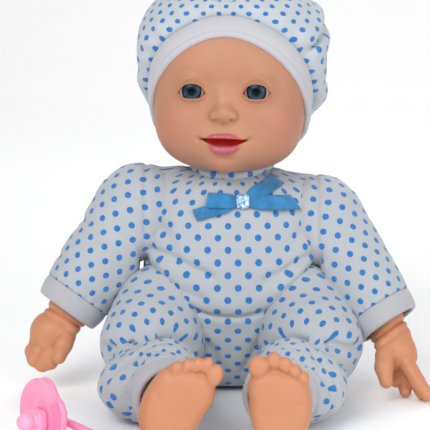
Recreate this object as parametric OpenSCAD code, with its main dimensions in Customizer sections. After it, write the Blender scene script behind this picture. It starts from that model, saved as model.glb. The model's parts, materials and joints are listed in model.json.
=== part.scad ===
// Seated baby doll with a cloth body, vinyl head, hands and feet, a sound box and a dummy.
// Origin: under the seat, on the ground. The doll faces -Y, its left side is +X, +Z is up.

/* [Head] */
// Height of the middle of the head above the ground
head_z = 182; // [178:1:186]
// Turn of the face towards the doll's right, in degrees
head_yaw = -6; // [-12:1:0]
// Thickness of the vinyl head
vinyl_t = 2.6; // [1.6:0.2:4]
// Distance between the eye centres
eye_gap = 37; // [33:1:39]
// Radius of each eyeball
eye_r = 9.8; // [8:0.2:10]
// Radius of the socket in the mouth
mouth_r = 5.5; // [4.8:0.1:6]

/* [Hat] */
// Width of the white band round the face
band_w = 13; // [8:1:15]
// Thickness of the hat's cloth
hat_t = 2.2; // [1.6:0.2:3]

/* [Body] */
// Thickness of the romper's cloth
cloth_t = 2; // [1.6:0.2:2.6]
// Radius of the neck ball
neck_r = 15; // [13:0.5:15]
// Gap round each limb's ball in its socket
socket_gap = 0.4; // [0.3:0.1:0.8]

/* [Arms] */
// Radius of the shoulder ball
shoulder_r = 27; // [24:0.5:27.5]
// Radius of a sleeve where the cuff begins
sleeve_end_r = 21.5; // [20:0.5:22]
// Length of a sleeve cuff
cuff_len = 12; // [8:1:13]

/* [Legs] */
// Radius of the hip ball
hip_r = 23; // [21:0.5:23.5]
// Radius of the leg at the knee
knee_r = 27.5; // [24:0.5:28]
// Radius of a trouser leg where the cuff begins
ankle_r = 20.5; // [19:0.5:21]
// Length of a trouser cuff
leg_cuff_len = 11; // [8:1:12]

/* [Sound box] */
// Width of the sound box
box_w = 52; // [46:1:52]
// Height of the sound box
box_h = 58; // [54:1:58]
// Wall of the sound box
box_wall = 2; // [1.6:0.2:2.4]
// Travel of the tummy button
button_travel = 2.5; // [1.5:0.1:2.6]

/* [Dummy] */
// Width of the round shield
shield_w = 43; // [40:1:44]
// Thickness of the shield
shield_t = 4; // [3:0.5:4.5]
// Middle radius of the ring handle
ring_r = 19; // [17:0.5:19.5]
// Radius of the ring handle's bar
ring_bar_r = 1.9; // [1.7:0.1:2.1]

/* [Hidden] */
$fn = 48;
soft_fn = 30;
big = 200;
skin = [0.88, 0.66, 0.54];
white = [0.93, 0.93, 0.94];
dotted = [0.82, 0.86, 0.93];
blue = [0.2, 0.52, 0.8];
pink = [0.98, 0.6, 0.75];

// Sections of the torso, bottom to top: height, half width, half depth, middle y
torso_sections = [[0, 40, 30, 6], [5, 45, 35, 4], [14, 49, 38, 2], [30, 52, 41, 0],
    [52, 53, 42, -2], [74, 52.5, 41, -1.5], [92, 50.5, 37, -0.5], [108, 47.5, 33, 0.5],
    [119, 42, 29, 1.5], [126, 35, 25, 2.5], [130, 26, 21, 3]];
// Sections of the head about its middle, chin to crown, in the same order
head_sections = [[-49, 11, 12, -19], [-45, 22, 22, -14], [-38, 31, 31, -9.5],
    [-28, 38.5, 38, -6], [-16, 43, 43.5, -4], [-4, 43.8, 46.5, -2], [8, 43.2, 48, 0],
    [20, 41, 47, 1], [31, 36, 42, 2], [40, 28, 33, 3], [46, 18, 21, 4], [49, 8, 9, 4]];
// Sections of the hat's crown, nape to top, in the same order
crown_sections = [[-42, 22, 16, 32], [-34, 38, 28, 25], [-22, 48, 38, 17],
    [-8, 54, 44, 12], [8, 57, 49, 10], [24, 56.5, 50, 9], [38, 53, 47, 9],
    [49, 44, 40, 9], [55, 33, 30, 9], [58, 18, 16, 9]];
// The band's plane leans back from the forehead to the nape
band_lean = 37.6;
band_front = 12.1;

// Each side is [shoulder pivot, cuff middle, hip pivot, ankle cuff middle]
left_side = [[52, 0, 99], [90, -25, 45], [46, -38, 33], [25, -122, 24]];
right_side = [[-54, 0, 106], [-95, -15, 51], [-46, -38, 33], [-34, -122, 23.6]];
leg_clear_y = -5;
hip_room = 1.6;
torso_side = 54.6;
ball_inner_x = 27;
neck_at = [0, 4, 124];
stem_r = 10;
bearing_z = [138.5, 149];
collar_lean = 4;
collar_room = 0.25;

box_at = [0, 9, 70];
box_front_y = -8;
box_split_y = 8;
box_back_y = 28;
button_z = 58;
pad_y = -40;
stub_r = 12;
tie_r = 0.9;

pacifier_at = [-98, -158, 0];
pacifier_yaw = 53;
teat_h = shield_w / 2;
hinge_h = teat_h - 1;
hinge_back = 8;
ring_reach = ring_r - 1.5;
ring_drop = asin((hinge_h - ring_bar_r) / (ring_reach + ring_r));

function length_of(a, b) = norm(b - a);

// Turns +Z to run from a to b, with its zero at a
module along(a, b) {
    d = b - a;
    translate(a) rotate([0, acos(d.z / norm(d)), atan2(d.y, d.x)]) children();
}

// A rounded bar between two balls
module bar(a, ra, b, rb, fn = 12) {
    hull() {
        translate(a) sphere(r = ra, $fn = fn);
        translate(b) sphere(r = rb, $fn = fn);
    }
}

// One thin oval slice of a sectioned form, grown by g
module slice(s, g) {
    translate([0, s[3], s[0]]) scale([s[1] + g, s[2] + g, 1])
        cylinder(r = 1, h = 0.01, $fn = soft_fn);
}

// A soft form lofted through its sections and grown by g all round
module loft(sections, g = 0) {
    n = len(sections);
    for (i = [0 : n - 2]) hull() {
        translate([0, 0, i == 0 ? -g : 0]) slice(sections[i], g);
        translate([0, 0, i == n - 2 ? g : 0]) slice(sections[i + 1], g);
    }
}

// ---- Torso ----

// Room for the limbs: four ball sockets and the space each leg swings down through
module limb_room() {
    for (side = [left_side, right_side]) {
        translate(side[0]) sphere(r = shoulder_r + socket_gap, $fn = 40);
        translate(side[2]) sphere(r = hip_r + hip_room, $fn = 40);
        s = sign(side[2].x);
        translate([s > 0 ? 8 : -8 - big, leg_clear_y - big, side[2].z - big])
            cube([big, big, big]);
    }
}

module torso_stuffing() {
    color(white) difference() {
        loft(torso_sections, -cloth_t - 0.2);
        limb_room();
        translate(neck_at) sphere(r = neck_r + socket_gap, $fn = 40);
        translate(neck_at) cylinder(r1 = neck_r - 1, r2 = 22, h = 12);
        translate([-box_w / 2, box_front_y, box_at.z - box_h / 2] - [0.3, 0.3, 0.3])
            cube([box_w, box_back_y - box_front_y + 10, box_h] + [0.6, 0.6, 0.6]);
        translate([0, box_front_y + 1, button_z]) rotate([90, 0, 0])
            cylinder(r = 12.5, h = 60);
        translate([0, 12, box_at.z + box_h / 2 - 1]) cylinder(r = 1.6, h = 40);
        collar_ring(collar_room);
    }
}

module romper_torso() {
    color(dotted) difference() {
        loft(torso_sections);
        difference() {
            loft(torso_sections, -cloth_t);
            translate([-big / 2, -big / 2, -big + cloth_t]) cube(big);
        }
        limb_room();
        translate([0, neck_at.y, neck_at.z]) cylinder(r1 = 19, r2 = 21, h = 20);
        collar_ring(collar_room);
    }
}

// The rolled binding round the neck, grown by g
module collar_ring(g) {
    translate([0, neck_at.y - 0.5, 129.6]) rotate([collar_lean, 0, 0])
        rotate_extrude($fn = 32) translate([23.4, 0]) circle(r = 2.3 + g, $fn = 16);
}

module collar() color(white) collar_ring(0);

// Hook-and-loop strip down the middle of the back
module back_closure() {
    first = 3;
    color(white) for (i = [first : 8]) hull() for (s = [torso_sections[i], torso_sections[i + 1]])
        translate([-7, s[3] + s[2] + 0.2, s[0]]) cube([14, 1.2, 0.02]);
}

// One flat loop of ribbon seen from above, reaching out to the right
module ribbon_loop(reach, depth, wide) {
    r = depth / 2;
    linear_extrude(height = wide) difference() {
        union() {
            translate([0, -r]) square([reach - r, depth]);
            translate([reach - r, 0]) circle(r = r);
        }
        translate([1, -r + 0.8]) square([reach - r - 1, depth - 1.6]);
        translate([reach - r, 0]) circle(r = r - 0.8);
    }
}

bow_at = [6.5, -38.4, 115];
ribbon_w = 8;

module ribbon_bow() {
    color(blue) translate(bow_at) {
        translate([4.8, 0, 0]) rotate([0, -6, -8]) translate([0, 0, -ribbon_w / 2])
            ribbon_loop(30, 6, ribbon_w);
        translate([-4.8, 0, 0]) rotate([0, 6, 188]) translate([0, 0, -ribbon_w / 2])
            ribbon_loop(22, 6, ribbon_w);
        translate([6.4, 0.4, 0]) rotate([0, -32, 0]) translate([0, 3, -2]) cube([18, 0.8, 6]);
        translate([-6.4, 0.4, 0]) rotate([0, 148, 0]) translate([0, 3, -4]) cube([22, 0.8, 6]);
    }
}

module ribbon_knot() {
    color([0.55, 0.72, 0.92]) translate(bow_at - [4, 3.4, 5]) cube([8, 6.8, 10]);
}

// ---- Sound box ----

screw_xz = [[-22, -25], [22, -25], [-22, 25], [22, 25]];

module box_block(y0, y1, inset = 0) {
    translate([-box_w / 2 + inset, y0, box_at.z - box_h / 2 + inset])
        cube([box_w - 2 * inset, y1 - y0, box_h - 2 * inset]);
}

// A round hole or peg along Y
module y_rod(x, z, r, y0, y1) {
    translate([x, y1, z]) rotate([90, 0, 0]) cylinder(r = r, h = y1 - y0);
}

module sound_box_front() {
    color([0.85, 0.85, 0.82]) difference() {
        union() {
            difference() {
                box_block(box_front_y, box_split_y);
                box_block(box_front_y + box_wall, box_split_y + 1, box_wall);
            }
            for (p = screw_xz) y_rod(p.x, box_at.z + p.y, 2.9, box_front_y + 1, box_split_y);
        }
        for (p = screw_xz) y_rod(p.x, box_at.z + p.y, 1.2, box_front_y + 4, box_split_y + 1);
        y_rod(0, button_z, 4.4, box_front_y - 1, box_front_y + 3);
        for (a = [0 : 60 : 300])
            y_rod(6.5 * cos(a), 83 + 6.5 * sin(a), 1.4, box_front_y - 1, box_front_y + 3);
        y_rod(0, 83, 1.4, box_front_y - 1, box_front_y + 3);
        translate([0, 2, box_at.z + box_h / 2 - 3]) cylinder(r = 1.6, h = 6);
    }
}

door_w = 38;
door_h = 50;

module sound_box_back() {
    color([0.85, 0.85, 0.82]) difference() {
        union() {
            difference() {
                box_block(box_split_y, box_back_y);
                box_block(box_split_y - 1, box_back_y - box_wall, box_wall);
            }
            box_block(12, 13.6, 1);
            y_rod(0, box_at.z - 23.2, 3, 13, box_back_y - box_wall);
            for (p = screw_xz) y_rod(p.x, box_at.z + p.y, 2.9, box_split_y, box_back_y);
        }
        for (p = screw_xz) {
            y_rod(p.x, box_at.z + p.y, 1.3, box_split_y - 1, box_back_y + 1);
            y_rod(p.x, box_at.z + p.y, 2.4, box_back_y - 4, box_back_y + 1);
        }
        translate([-door_w / 2, box_back_y - box_wall - 1, box_at.z - door_h / 2])
            cube([door_w, box_wall + 2, door_h]);
        y_rod(0, box_at.z - 23.2, 1.1, 16, box_back_y + 1);
        translate([19.8, box_back_y - 4, 56]) cube([4.4, 6, 10]);
    }
}

module battery_door() {
    color([0.78, 0.78, 0.75]) difference() {
        translate([-door_w / 2, box_back_y - box_wall, box_at.z - door_h / 2] + [0.25, 0.1, 0.25])
            cube([door_w - 0.5, box_wall - 0.1, door_h - 0.5]);
        y_rod(0, box_at.z - 23.2, 1.5, box_back_y - 5, box_back_y + 1);
    }
}

module battery_door_screw() {
    color("silver") {
        y_rod(0, box_at.z - 23.2, 1.1, 18, box_back_y + 0.05);
        y_rod(0, box_at.z - 23.2, 2.4, box_back_y + 0.05, box_back_y + 1.6);
    }
}

cell_r = 5.2;
cell_len = 42;

module batteries() {
    color([0.25, 0.55, 0.35]) for (x = [-11.5, 0, 11.5])
        translate([x, 19.8, box_at.z - 17.4]) {
            cylinder(r = cell_r, h = cell_len - 1);
            translate([0, 0, cell_len - 1]) cylinder(r = 1.9, h = 1);
        }
}

module battery_contacts() {
    color("silver") for (x = [-11.5, 0, 11.5]) {
        translate([x - 4, 16, box_at.z + 25.2]) cube([8, 7, 0.5]);
        translate([x - 3, 16, box_at.z - 18.2]) cube([6, 7, 0.5]);
    }
}

module circuit_board() {
    color([0.1, 0.4, 0.2]) translate([-19, 4, box_at.z - 24]) cube([38, 1.6, 34]);
}

module speaker() {
    color([0.15, 0.15, 0.15]) {
        y_rod(0, 83, 11.5, box_front_y + box_wall, box_front_y + box_wall + 2);
        y_rod(0, 83, 8, box_front_y + box_wall + 2, 1);
    }
}

module tact_switch() {
    color([0.1, 0.1, 0.1]) {
        translate([-3, 0.6, button_z - 3]) cube([6, 3.4, 6]);
        y_rod(0, button_z, 1.7, -0.2, 0.6);
    }
}

module case_screws() {
    color("silver") for (p = screw_xz) {
        y_rod(p.x, box_at.z + p.y, 1.2, -2, box_back_y - 4);
        y_rod(p.x, box_at.z + p.y, 2.2, box_back_y - 4, box_back_y - 2.4);
    }
}

// Wires that leave the top of the sound box and rise behind the neck ball
module wire_harness() {
    color([0.8, 0.15, 0.1]) translate([0, 12, box_at.z + box_h / 2 + 0.1])
        cylinder(r = 1.3, h = 8);
}

// Return spring of the tummy button, drawn as short as it is when the button is pressed
module button_spring() {
    turns = 5;
    inner_r = 5.2;
    wire = 1.1;
    half_arc = 38;
    arc = [-half_arc, 0, half_arc];
    free_len = -pad_y + box_front_y - 4 - button_travel - 0.6;
    color("silver") translate([0, box_front_y - 0.1, button_z]) rotate([90, 0, 0])
        linear_extrude(height = free_len, twist = -360 * turns, slices = 16 * turns,
            $fn = 6)
            polygon(concat([for (a = arc) inner_r * [cos(a), sin(a)]],
                [for (a = arc) (inner_r + wire) * [cos(-a), sin(-a)]]));
}

module tummy_button() {
    color([0.9, 0.9, 0.85]) {
        y_rod(0, button_z, 11.5, pad_y, pad_y + 4);
        y_rod(0, button_z, 3.9, pad_y + 4, -0.3 - button_travel);
    }
}

module power_switch() {
    color([0.1, 0.1, 0.1]) translate([20.2, box_back_y - 5, 56.4]) {
        cube([3.6, 7, 4]);
        translate([0.4, 5.1, 0.4]) cube([2.8, 3, 3.2]);
    }
}

// ---- Neck and head ----

module neck_joint() {
    color([0.85, 0.8, 0.75]) translate(neck_at) {
        sphere(r = neck_r);
        cylinder(r = stem_r, h = bearing_z[1] + 1 - neck_at.z);
        translate([0, 0, bearing_z[1] + 0.5 - neck_at.z]) cylinder(r = stem_r + 3.5, h = 3);
    }
}

module neck_tie() {
    color(white) translate([neck_at.x, neck_at.y, 137.2])
        rotate_extrude() translate([stem_r + 1, 0]) circle(r = 0.95);
}

module neck_bearing() {
    color([0.8, 0.75, 0.7]) translate([neck_at.x, neck_at.y, bearing_z[0]]) difference() {
        cylinder(r = neck_r, h = bearing_z[1] - bearing_z[0]);
        translate([0, 0, -1]) cylinder(r = stem_r + 0.06, h = 20);
    }
}

// The head's own frame: its middle, with the face turned
module in_head() translate([0, 0, head_z]) rotate([0, 0, head_yaw]) children();

module eye_place(side) translate([side * eye_gap / 2, -35.2, -2]) children();

module mouth_place() translate([0, -46.5, -31]) children();

module head_form(g = 0) {
    loft(head_sections, g);
    bar([-7, -39, -31], 9 + g, [7, -39, -31], 9 + g, 20);
    bar([0, -45, -10], 3.5 + g, [0, -47, -14.5], 5 + g, 16);
    for (s = [-1, 1]) bar([s * 42, 2, -10], 5 + g, [s * 41, 3, -19], 4 + g, 16);
}

module head_shell() {
    color(skin) in_head() difference() {
        head_form();
        loft(head_sections, -vinyl_t);
        for (s = [-1, 1]) eye_place(s) sphere(r = eye_r + 0.15, $fn = 36);
        mouth_place() translate([0, 17, 0]) rotate([90, 0, 0]) cylinder(r = 9.1, h = 30);
        rotate([0, 0, -head_yaw]) translate([0, neck_at.y, -60])
            cylinder(r = neck_r + 0.1, h = 40);
    }
}

module left_eye() color([0.15, 0.2, 0.35]) in_head() eye_place(1) sphere(r = eye_r);

module right_eye() color([0.15, 0.2, 0.35]) in_head() eye_place(-1) sphere(r = eye_r);

// Cup behind the lips that takes the dummy's teat
module mouth_insert() {
    color([0.55, 0.1, 0.1]) in_head() mouth_place() rotate([90, 0, 0]) difference() {
        translate([0, 0, -15]) cylinder(r = 9, h = 15.5);
        translate([0, 0, -12.5]) cylinder(r = mouth_r, h = 20);
    }
}

module mouth_switch() {
    color([0.1, 0.1, 0.1]) in_head() mouth_place() translate([-6, 15.2, -1.5]) cube([12, 3, 3]);
}

// Everything behind the plane that is d in front of the head's middle, leaning with the band
module behind_band(d) {
    rotate([-90 + band_lean, 0, 0]) translate([-big / 2, -big / 2, -d]) cube(big);
}

module hat_crown() {
    color(dotted) in_head() union() {
        difference() {
            intersection() { loft(crown_sections); behind_band(band_front - band_w - 0.2); }
            intersection() {
                loft(crown_sections, -hat_t);
                behind_band(band_front - band_w - 0.2 - hat_t);
            }
            loft(head_sections, 0.4);
        }
    }
}

module hat_band() {
    color(white) in_head() difference() {
        intersection() {
            loft(head_sections, 0.4 + hat_t);
            behind_band(band_front);
        }
        behind_band(band_front - band_w);
        loft(head_sections, 0.4);
        for (s = [-1, 1]) bar([s * 42, 2, -10], 5.4, [s * 41, 3, -19], 4.4, 16);
        translate([0, neck_at.y, bearing_z[0] - head_z - 2]) cylinder(r = neck_r + 1.5, h = 16);
    }
}

// ---- Arms: solids of revolution about the line from the shoulder to the cuff ----

function arm_len(side) = length_of(side[0], side[1]) - cuff_len / 2;

module arm_form(side, g) {
    sphere(r = shoulder_r - g);
    cylinder(r1 = shoulder_r - 0.8 - g, r2 = sleeve_end_r - g, h = arm_len(side));
}

// Everything nearer the middle of the doll than x
module inward(side, x) {
    translate([side[0].x > 0 ? x - big : -x, -big / 2, side[0].z - big / 2]) cube(big);
}

// What an arm leaves free so that it swings beside the torso: all but its ball
module torso_room(side) {
    difference() {
        inward(side, torso_side);
        difference() {
            translate(side[0]) sphere(r = shoulder_r + 0.05);
            inward(side, ball_inner_x);
        }
    }
}

module sleeve(side) {
    difference() {
        along(side[0], side[1]) difference() {
            arm_form(side, 0);
            sphere(r = shoulder_r - cloth_t);
            cylinder(r1 = shoulder_r - 0.8 - cloth_t, r2 = sleeve_end_r - cloth_t,
                h = arm_len(side) + 0.01);
        }
        torso_room(side);
    }
}

module upper_arm(side) {
    end = arm_len(side);
    neck = stub_r + 1.6;
    difference() {
        along(side[0], side[1]) difference() {
            union() {
                arm_form(side, cloth_t + 0.2);
                translate([0, 0, end - 1]) cylinder(r = neck, h = 8);
            }
            translate([0, 0, end - 10]) cylinder(r = stub_r + 0.3, h = 30);
        }
        torso_room(side);
    }
}

module cuff(side) {
    along(side[0], side[1]) translate([0, 0, arm_len(side) + 0.1]) difference() {
        cylinder(r = sleeve_end_r, h = cuff_len);
        translate([0, 0, -1]) cylinder(r = sleeve_end_r - 4.2, h = cuff_len + 2);
    }
}

module wrist_tie(side) {
    along(side[0], side[1]) translate([0, 0, arm_len(side) + 3.5])
        rotate_extrude() translate([stub_r + 1.7 + tie_r, 0]) circle(r = tie_r);
}

// The flange that the tie holds in the cuff, from a limb's end back into its stuffing
module stub(from, to, limb_len) {
    along(from, to) translate([0, 0, limb_len - 8]) cylinder(r = stub_r, h = 17, $fn = 32);
}

// The limb itself, and the stuffing's neck beyond it, which a hand or foot keeps clear of
module limb_end(from, to, limb_len) {
    along(from, to) translate([0, 0, limb_len - big]) cylinder(r = 50, h = big + 7.5);
}

// Open hand of the left arm, palm back, fingers reaching down to the ground
module open_hand() {
    w = left_side[1] + [3.5, -2.5, -5];
    bar(w, 14, w + [3, -8, -10], 12, 20);
    bar(w + [1, -9, -12], 9, w + [4, -17, -18], 7.5, 16);
    bar(w + [8, -7, -11], 9, w + [12, -14, -17], 7.5, 16);
    for (f = [[3, -18, -19, 3, -31, -27], [8, -17, -19, 9, -31, -29],
            [12, -16, -19, 14, -30, -30.5], [15, -13, -18, 19, -27, -31]])
        bar(w + [f[0], f[1], f[2]], 5, w + [f[3], f[4], f[5]], 4);
    bar(w + [-2, -10, -10], 6, w + [-5, -22, -15], 4.6);
    bar(w + [-5, -22, -15], 4.6, w + [-5, -29, -21], 4);
}

// Closed hand of the right arm, the thumb laid across the fingers
module closed_hand() {
    w = right_side[1] + [-4, -2, -6];
    bar(w, 14, w + [-7, -1, -10], 14.5, 20);
    bar(w + [-7, -1, -10], 14.5, w + [-11, -2, -18], 13, 20);
    for (i = [0 : 3]) {
        k = w + [-19 + 5.6 * i, -7, -24 - 0.8 * i];
        bar(k, 5, k + [2, -8, 4], 4.6);
        bar(k + [2, -8, 4], 4.6, k + [3, -5, 9], 4);
    }
    bar(w + [2, -6, -12], 6, w + [1, -16, -17], 5);
    bar(w + [1, -16, -17], 5, w + [-6, -19, -17], 4.3);
}

// A hand on its stub, cut back where the arm's stuffing ends
module hand(side) {
    color(skin) {
        stub(side[0], side[1], arm_len(side));
        difference() {
            children();
            limb_end(side[0], side[1], arm_len(side));
        }
    }
}

module left_hand() hand(left_side) open_hand();
module right_hand() hand(right_side) closed_hand();

// ---- Legs: solids of revolution about the line from the hip to the ankle ----

function leg_len(side) = length_of(side[2], side[3]) - leg_cuff_len / 2;
knee_part = 0.6;

module leg_form(side, g) {
    end = leg_len(side);
    sphere(r = hip_r - g);
    rotate_extrude() polygon([[0, 0], [hip_r - 0.8 - g, 0], [knee_r - g, end * knee_part],
        [ankle_r - g, end], [0, end]]);
}

module trouser_leg(side) {
    along(side[2], side[3]) difference() {
        leg_form(side, 0);
        leg_form(side, cloth_t);
        translate([0, 0, leg_len(side) - 3]) cylinder(r = ankle_r - cloth_t - 0.2, h = 5);
    }
}

module upper_leg(side) {
    end = leg_len(side);
    neck = stub_r + 1.6;
    along(side[2], side[3]) difference() {
        union() {
            leg_form(side, cloth_t + 0.2);
            translate([0, 0, end - 1]) cylinder(r = neck, h = 8);
        }
        translate([0, 0, end - 10]) cylinder(r = stub_r + 0.3, h = 30);
    }
}

module leg_cuff(side) {
    along(side[2], side[3]) translate([0, 0, leg_len(side) + 0.1]) difference() {
        cylinder(r = ankle_r, h = leg_cuff_len);
        translate([0, 0, -1]) cylinder(r = ankle_r - 4, h = leg_cuff_len + 2);
    }
}

module ankle_tie(side) {
    along(side[2], side[3]) translate([0, 0, leg_len(side) + 3.5])
        rotate_extrude() translate([stub_r + 1.7 + tie_r, 0]) circle(r = tie_r);
}

// A left foot about its ankle: sole towards -Y, toes up, big toe towards -X
module foot_form() {
    bar([0, 2, 0], 13, [0, -7, -2], 14, 20);
    bar([0, -12, -11.5], 12.4, [-6, -14, 10], 10.5, 20);
    bar([0, -12, -11.5], 12.4, [6.5, -14, 8], 9.5, 20);
    bar([-6, -14, 10], 10.5, [6.5, -14, 8], 9.5, 20);
    for (t = [[-11, 20, 5.4], [-3.6, 23.4, 4.2], [2.2, 21.6, 3.9], [7.6, 18.6, 3.7],
            [12.4, 14.6, 3.5]])
        bar([t[0] * 0.9, -14, t[1] - 9], t[2] + 0.8, [t[0], -17, t[1]], t[2]);
}

module foot(side, lean, mirrored) {
    color(skin) {
        stub(side[2], side[3], leg_len(side));
        difference() {
            translate(side[3] + [0, -5, 0]) rotate([0, lean, 0]) mirror([mirrored, 0, 0])
                foot_form();
            limb_end(side[2], side[3], leg_len(side));
        }
    }
}

module left_upper_arm() color(white) upper_arm(left_side);
module left_sleeve() color(dotted) sleeve(left_side);
module left_cuff() color(white) cuff(left_side);
module left_wrist_tie() color("silver") wrist_tie(left_side);
module right_upper_arm() color(white) upper_arm(right_side);
module right_sleeve() color(dotted) sleeve(right_side);
module right_cuff() color(white) cuff(right_side);
module right_wrist_tie() color("silver") wrist_tie(right_side);
module left_upper_leg() color(white) upper_leg(left_side);
module left_trouser_leg() color(dotted) trouser_leg(left_side);
module left_leg_cuff() color(white) leg_cuff(left_side);
module left_ankle_tie() color("silver") ankle_tie(left_side);
module left_foot() foot(left_side, 0, 0);
module right_upper_leg() color(white) upper_leg(right_side);
module right_trouser_leg() color(dotted) trouser_leg(right_side);
module right_leg_cuff() color(white) leg_cuff(right_side);
module right_ankle_tie() color("silver") ankle_tie(right_side);
module right_foot() foot(right_side, 17, 1);

// ---- Dummy: it stands on its shield's edge and the far side of its ring ----

// The dummy's own frame: teat towards -Y, on the ground
module in_dummy() translate(pacifier_at) rotate([0, 0, -pacifier_yaw]) children();

// Round, with a shallow notch for the nose between two low lobes
module pacifier_shield() {
    notch_turn = 48;
    lobe_turn = 24;
    lobe_r = 9;
    lobe_reach = shield_w / 2 - lobe_r + 2.7;
    color(pink) in_dummy() translate([0, shield_t / 2, teat_h]) rotate([90, 0, 0]) difference() {
        linear_extrude(height = shield_t) union() {
            circle(r = shield_w / 2);
            for (s = [-1, 1]) rotate(notch_turn + s * lobe_turn) translate([lobe_reach, 0])
                circle(r = lobe_r);
        }
        translate([0, 0, -1]) cylinder(r = 3.2, h = shield_t + 2);
    }
}

module pacifier_nipple() {
    color(pink) in_dummy() translate([0, -shield_t / 2 - 0.05, teat_h]) rotate([90, 0, 0])
        difference() {
            union() {
                cylinder(r = 6.5, h = 2.5);
                cylinder(r = 3.8, h = 10);
                translate([0, 0, 9]) sphere(r = 4.6);
            }
            translate([0, 0, 5]) cylinder(r = 2.05, h = 4.1);
        }
}

module pacifier_magnet() {
    color("silver") in_dummy() translate([0, -shield_t / 2 - 0.05, teat_h]) rotate([90, 0, 0])
        translate([0, 0, 5.05]) cylinder(r = 2, h = 4);
}

// Stud through the shield that carries the ring's bar
module pacifier_knob() {
    color(pink) in_dummy() difference() {
        union() {
            y_rod(0, teat_h, 3.1, -shield_t / 2, shield_t / 2 + 0.05);
            y_rod(0, teat_h, 5.5, shield_t / 2 + 0.05, shield_t / 2 + 2);
            translate([-3.2, shield_t / 2 + 1, hinge_h - 3.4])
                cube([6.4, hinge_back + 3 - shield_t / 2, 6.8]);
        }
        translate([-10, hinge_back, hinge_h]) rotate([0, 90, 0])
            cylinder(r = ring_bar_r + 0.06, h = 20);
    }
}

module pacifier_ring() {
    bar_half = sqrt(pow(ring_r, 2) - pow(ring_reach, 2));
    color(pink) in_dummy() translate([0, hinge_back, hinge_h]) rotate([-ring_drop, 0, 0]) {
        difference() {
            translate([0, ring_reach, 0]) rotate_extrude() translate([ring_r, 0])
                circle(r = ring_bar_r);
            translate([-bar_half, -8, -4]) cube([2 * bar_half, 8, 8]);
        }
        translate([-bar_half - 0.6, 0, 0]) rotate([0, 90, 0])
            cylinder(r = ring_bar_r, h = 2 * bar_half + 1.2);
    }
}

torso_stuffing();
romper_torso();
collar();
back_closure();
ribbon_bow();
ribbon_knot();
sound_box_front();
sound_box_back();
battery_door();
battery_door_screw();
batteries();
battery_contacts();
circuit_board();
speaker();
tact_switch();
case_screws();
wire_harness();
button_spring();
tummy_button();
power_switch();
neck_joint();
neck_tie();
neck_bearing();
head_shell();
left_eye();
right_eye();
mouth_insert();
mouth_switch();
hat_crown();
hat_band();
left_upper_arm();
left_sleeve();
left_cuff();
left_wrist_tie();
left_hand();
right_upper_arm();
right_sleeve();
right_cuff();
right_wrist_tie();
right_hand();
left_upper_leg();
left_trouser_leg();
left_leg_cuff();
left_ankle_tie();
left_foot();
right_upper_leg();
right_trouser_leg();
right_leg_cuff();
right_ankle_tie();
right_foot();
pacifier_shield();
pacifier_nipple();
pacifier_magnet();
pacifier_knob();
pacifier_ring();
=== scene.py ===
"""The looks of the seated baby doll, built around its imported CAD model.

Soft and cast forms are distance fields in millimetres, turned into quad meshes by surface nets.
"""

import json
import math

import bpy
import numpy as np
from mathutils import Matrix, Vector


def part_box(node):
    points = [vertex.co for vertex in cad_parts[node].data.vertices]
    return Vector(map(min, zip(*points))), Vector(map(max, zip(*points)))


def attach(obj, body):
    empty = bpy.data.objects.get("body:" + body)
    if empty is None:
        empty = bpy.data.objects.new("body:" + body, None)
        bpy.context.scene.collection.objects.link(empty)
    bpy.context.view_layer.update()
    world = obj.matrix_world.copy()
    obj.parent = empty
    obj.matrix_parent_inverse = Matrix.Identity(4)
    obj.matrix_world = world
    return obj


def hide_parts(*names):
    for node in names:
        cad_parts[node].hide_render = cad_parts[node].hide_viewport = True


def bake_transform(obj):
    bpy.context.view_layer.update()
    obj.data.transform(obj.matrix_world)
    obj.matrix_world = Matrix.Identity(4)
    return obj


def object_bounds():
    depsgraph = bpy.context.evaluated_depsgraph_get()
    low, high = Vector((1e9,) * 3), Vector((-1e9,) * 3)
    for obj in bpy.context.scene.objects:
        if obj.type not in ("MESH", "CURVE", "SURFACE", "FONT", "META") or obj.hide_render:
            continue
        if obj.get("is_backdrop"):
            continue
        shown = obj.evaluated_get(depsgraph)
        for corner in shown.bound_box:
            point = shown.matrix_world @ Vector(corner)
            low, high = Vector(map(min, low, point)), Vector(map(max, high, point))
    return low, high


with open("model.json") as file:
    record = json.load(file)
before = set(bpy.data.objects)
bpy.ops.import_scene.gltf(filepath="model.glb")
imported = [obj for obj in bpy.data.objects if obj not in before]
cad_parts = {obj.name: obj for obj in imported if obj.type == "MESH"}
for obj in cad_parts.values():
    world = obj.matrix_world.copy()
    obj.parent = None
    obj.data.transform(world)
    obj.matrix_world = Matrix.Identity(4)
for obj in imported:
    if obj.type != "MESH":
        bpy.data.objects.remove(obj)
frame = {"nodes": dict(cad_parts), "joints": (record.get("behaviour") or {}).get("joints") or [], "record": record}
CAD_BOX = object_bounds()

MM = 0.001
JOINTS = {j["name"]: j for j in frame["joints"]}
SIDES = {"left": 1.0, "right": -1.0}


def joint_range(name):
    """A hinge's lowest and highest angles in radians."""
    joints = frame["record"]["behaviour"]["joints"]
    joint = next(j for j in joints if j["name"] == name)
    return [math.radians(limit) for limit in joint["range_deg"]]


def joint_at(name):
    """A joint's place in millimetres."""
    return np.array(JOINTS[name]["pos_m"]) / MM


def box_mm(node):
    """A CAD node's lowest and highest corners in millimetres."""
    low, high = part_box(node)
    return np.array(low) / MM, np.array(high) / MM


# ---------------------------------------------------------------- distance fields (mm)


def xyz(p):
    return p[..., 0], p[..., 1], p[..., 2]


def smooth_union(a, b, k):
    """Field a joined to field b, the corner between them filled over a width k."""
    h = np.clip(0.5 + 0.5 * (b - a) / k, 0, 1)
    return b + (a - b) * h - k * h * (1 - h)


def smooth_cut(a, b, k):
    """Field a with field b taken away, the edge rounded by k."""
    return -smooth_union(-a, b, k)


def smooth_both(a, b, k):
    """The part of field a that is inside field b, the edge rounded by k."""
    return -smooth_union(-a, -b, k)


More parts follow.
